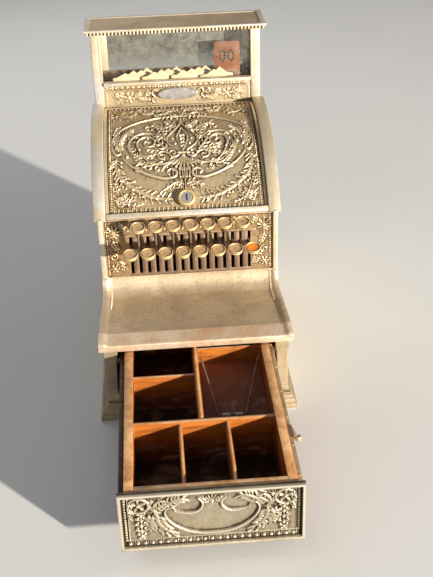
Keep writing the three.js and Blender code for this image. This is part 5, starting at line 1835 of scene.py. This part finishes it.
def back_ornament(r, half, tall):
    middle = tall / 2 - 4
    r.scroll(oval((0, middle), half * 0.74, tall * 0.34), 5, 1.4, taper=(1, 1))
    r.flower((0, middle), 27, 8, 1.4)
    r.scroll(oval((0, middle), 33, 33), 3, 1.2, taper=(1, 1))
    r.volute((56, middle + 20), 17, 200, 1.5, 4, 1.4)
    r.volute((56, middle - 20), 17, 160, -1.5, 4, 1.4)
    for y in (middle + 46, middle - 46):
        r.leaf([(24, y), (40, y + 6), (58, y)], 15, 1.3, 4)
    for y, facing in ((22, 45), (tall - 24, 315)):
        r.fan((half - 22, y), 17, 180 - facing, 150, 7, 1.3)
        r.flower((half - 46, y), 9, 6, 1.2)
    r.fan((0, tall - 30), 18, 90, 170, 7, 1.4)
    r.fan((0, 22), 16, 90, 150, 7, 1.4)
    r.twin()
    for side in (-1, 1):
        r.plate((side * half, 0), (side * (half - 4), tall), 1.4)
        r.bead_row((side * (half - 7.5), 9), (side * (half - 7.5), tall - 9), 5, 1.9, 1.3)
    for y0, y1, row in ((0, 4, 7.5), (tall - 4, tall, tall - 7.5)):
        r.plate((-half, y0), (half, y1), 1.4)
        r.bead_row((-half + 9, row), (half - 9, row), 5, 1.9, 1.3)


works()
back_cover()


# ---- camera, light and floor -------------------------------------------------------------------
SENSOR, LENS = 36.0, 61.81144  # height of the camera's sensor and its focal length, mm
CAMERA_AT = (-35.9, -1267, 802.6)


def point_camera():
    data = bpy.data.cameras.new("camera")
    data.sensor_fit = "VERTICAL"
    data.sensor_height = SENSOR
    data.lens = LENS
    camera = bpy.data.objects.new("camera", data)
    yaw, pitch, roll = (math.radians(a) for a in (3.4, 29.8, -1.8))
    ahead = Vector((math.sin(yaw) * math.cos(pitch), math.cos(yaw) * math.cos(pitch), -math.sin(pitch)))
    right = Vector((math.cos(yaw), -math.sin(yaw), 0))
    up = right.cross(ahead)
    tilted_right = math.cos(roll) * right + math.sin(roll) * up
    tilted_up = -math.sin(roll) * right + math.cos(roll) * up
    turn = Matrix((tilted_right, tilted_up, -ahead)).transposed()
    camera.matrix_world = Matrix.Translation(Vector(CAMERA_AT) * MM) @ turn.to_4x4()
    bpy.context.scene.collection.objects.link(camera)
    bpy.context.scene.camera = camera


def soft_light(name, place, target, size, power, colour=(1, 1, 1)):
    data = bpy.data.lights.new(name, "AREA")
    data.size, data.energy, data.color = size, power, colour
    light = bpy.data.objects.new(name, data)
    light.location = place
    light.rotation_euler = (Vector(target) - Vector(place)).to_track_quat("-Z", "Y").to_euler()
    bpy.context.scene.collection.objects.link(light)


def studio():
    world = bpy.data.worlds.new("world")
    bpy.context.scene.world = world
    world.use_nodes = True
    background = world.node_tree.nodes["Background"]
    background.inputs["Color"].default_value = (0.93, 0.95, 1.0, 1)
    background.inputs["Strength"].default_value = 0.19
    soft_light("key", (4.4, -5.1, 1.45), (0, -0.08, 0.2), 0.17, 980, (1.0, 0.93, 0.81))
    soft_light("fill", (-1.4, -1.6, 1.4), (0, -0.1, 0.15), 1.4, 2.5)
    soft_light("back", (-0.6, 1.6, 1.5), (0, 0, 0.3), 1.2, 7)
    shade = Shade("floor_paper", roughness=0.9)
    tone = shade.ramp(shade.noise(3, 2), [(0.3, (0.91, 0.91, 0.90)), (0.7, (0.94, 0.94, 0.93))])
    floor = make_piece("floor", [(-6e3, -6e3, 0), (6e3, -6e3, 0), (6e3, 6e3, 0), (-6e3, 6e3, 0)],
                       [[0, 1, 2, 3]], shade.done(tone), False)
    bpy.context.scene.view_settings.view_transform = "Standard"


point_camera()
studio()
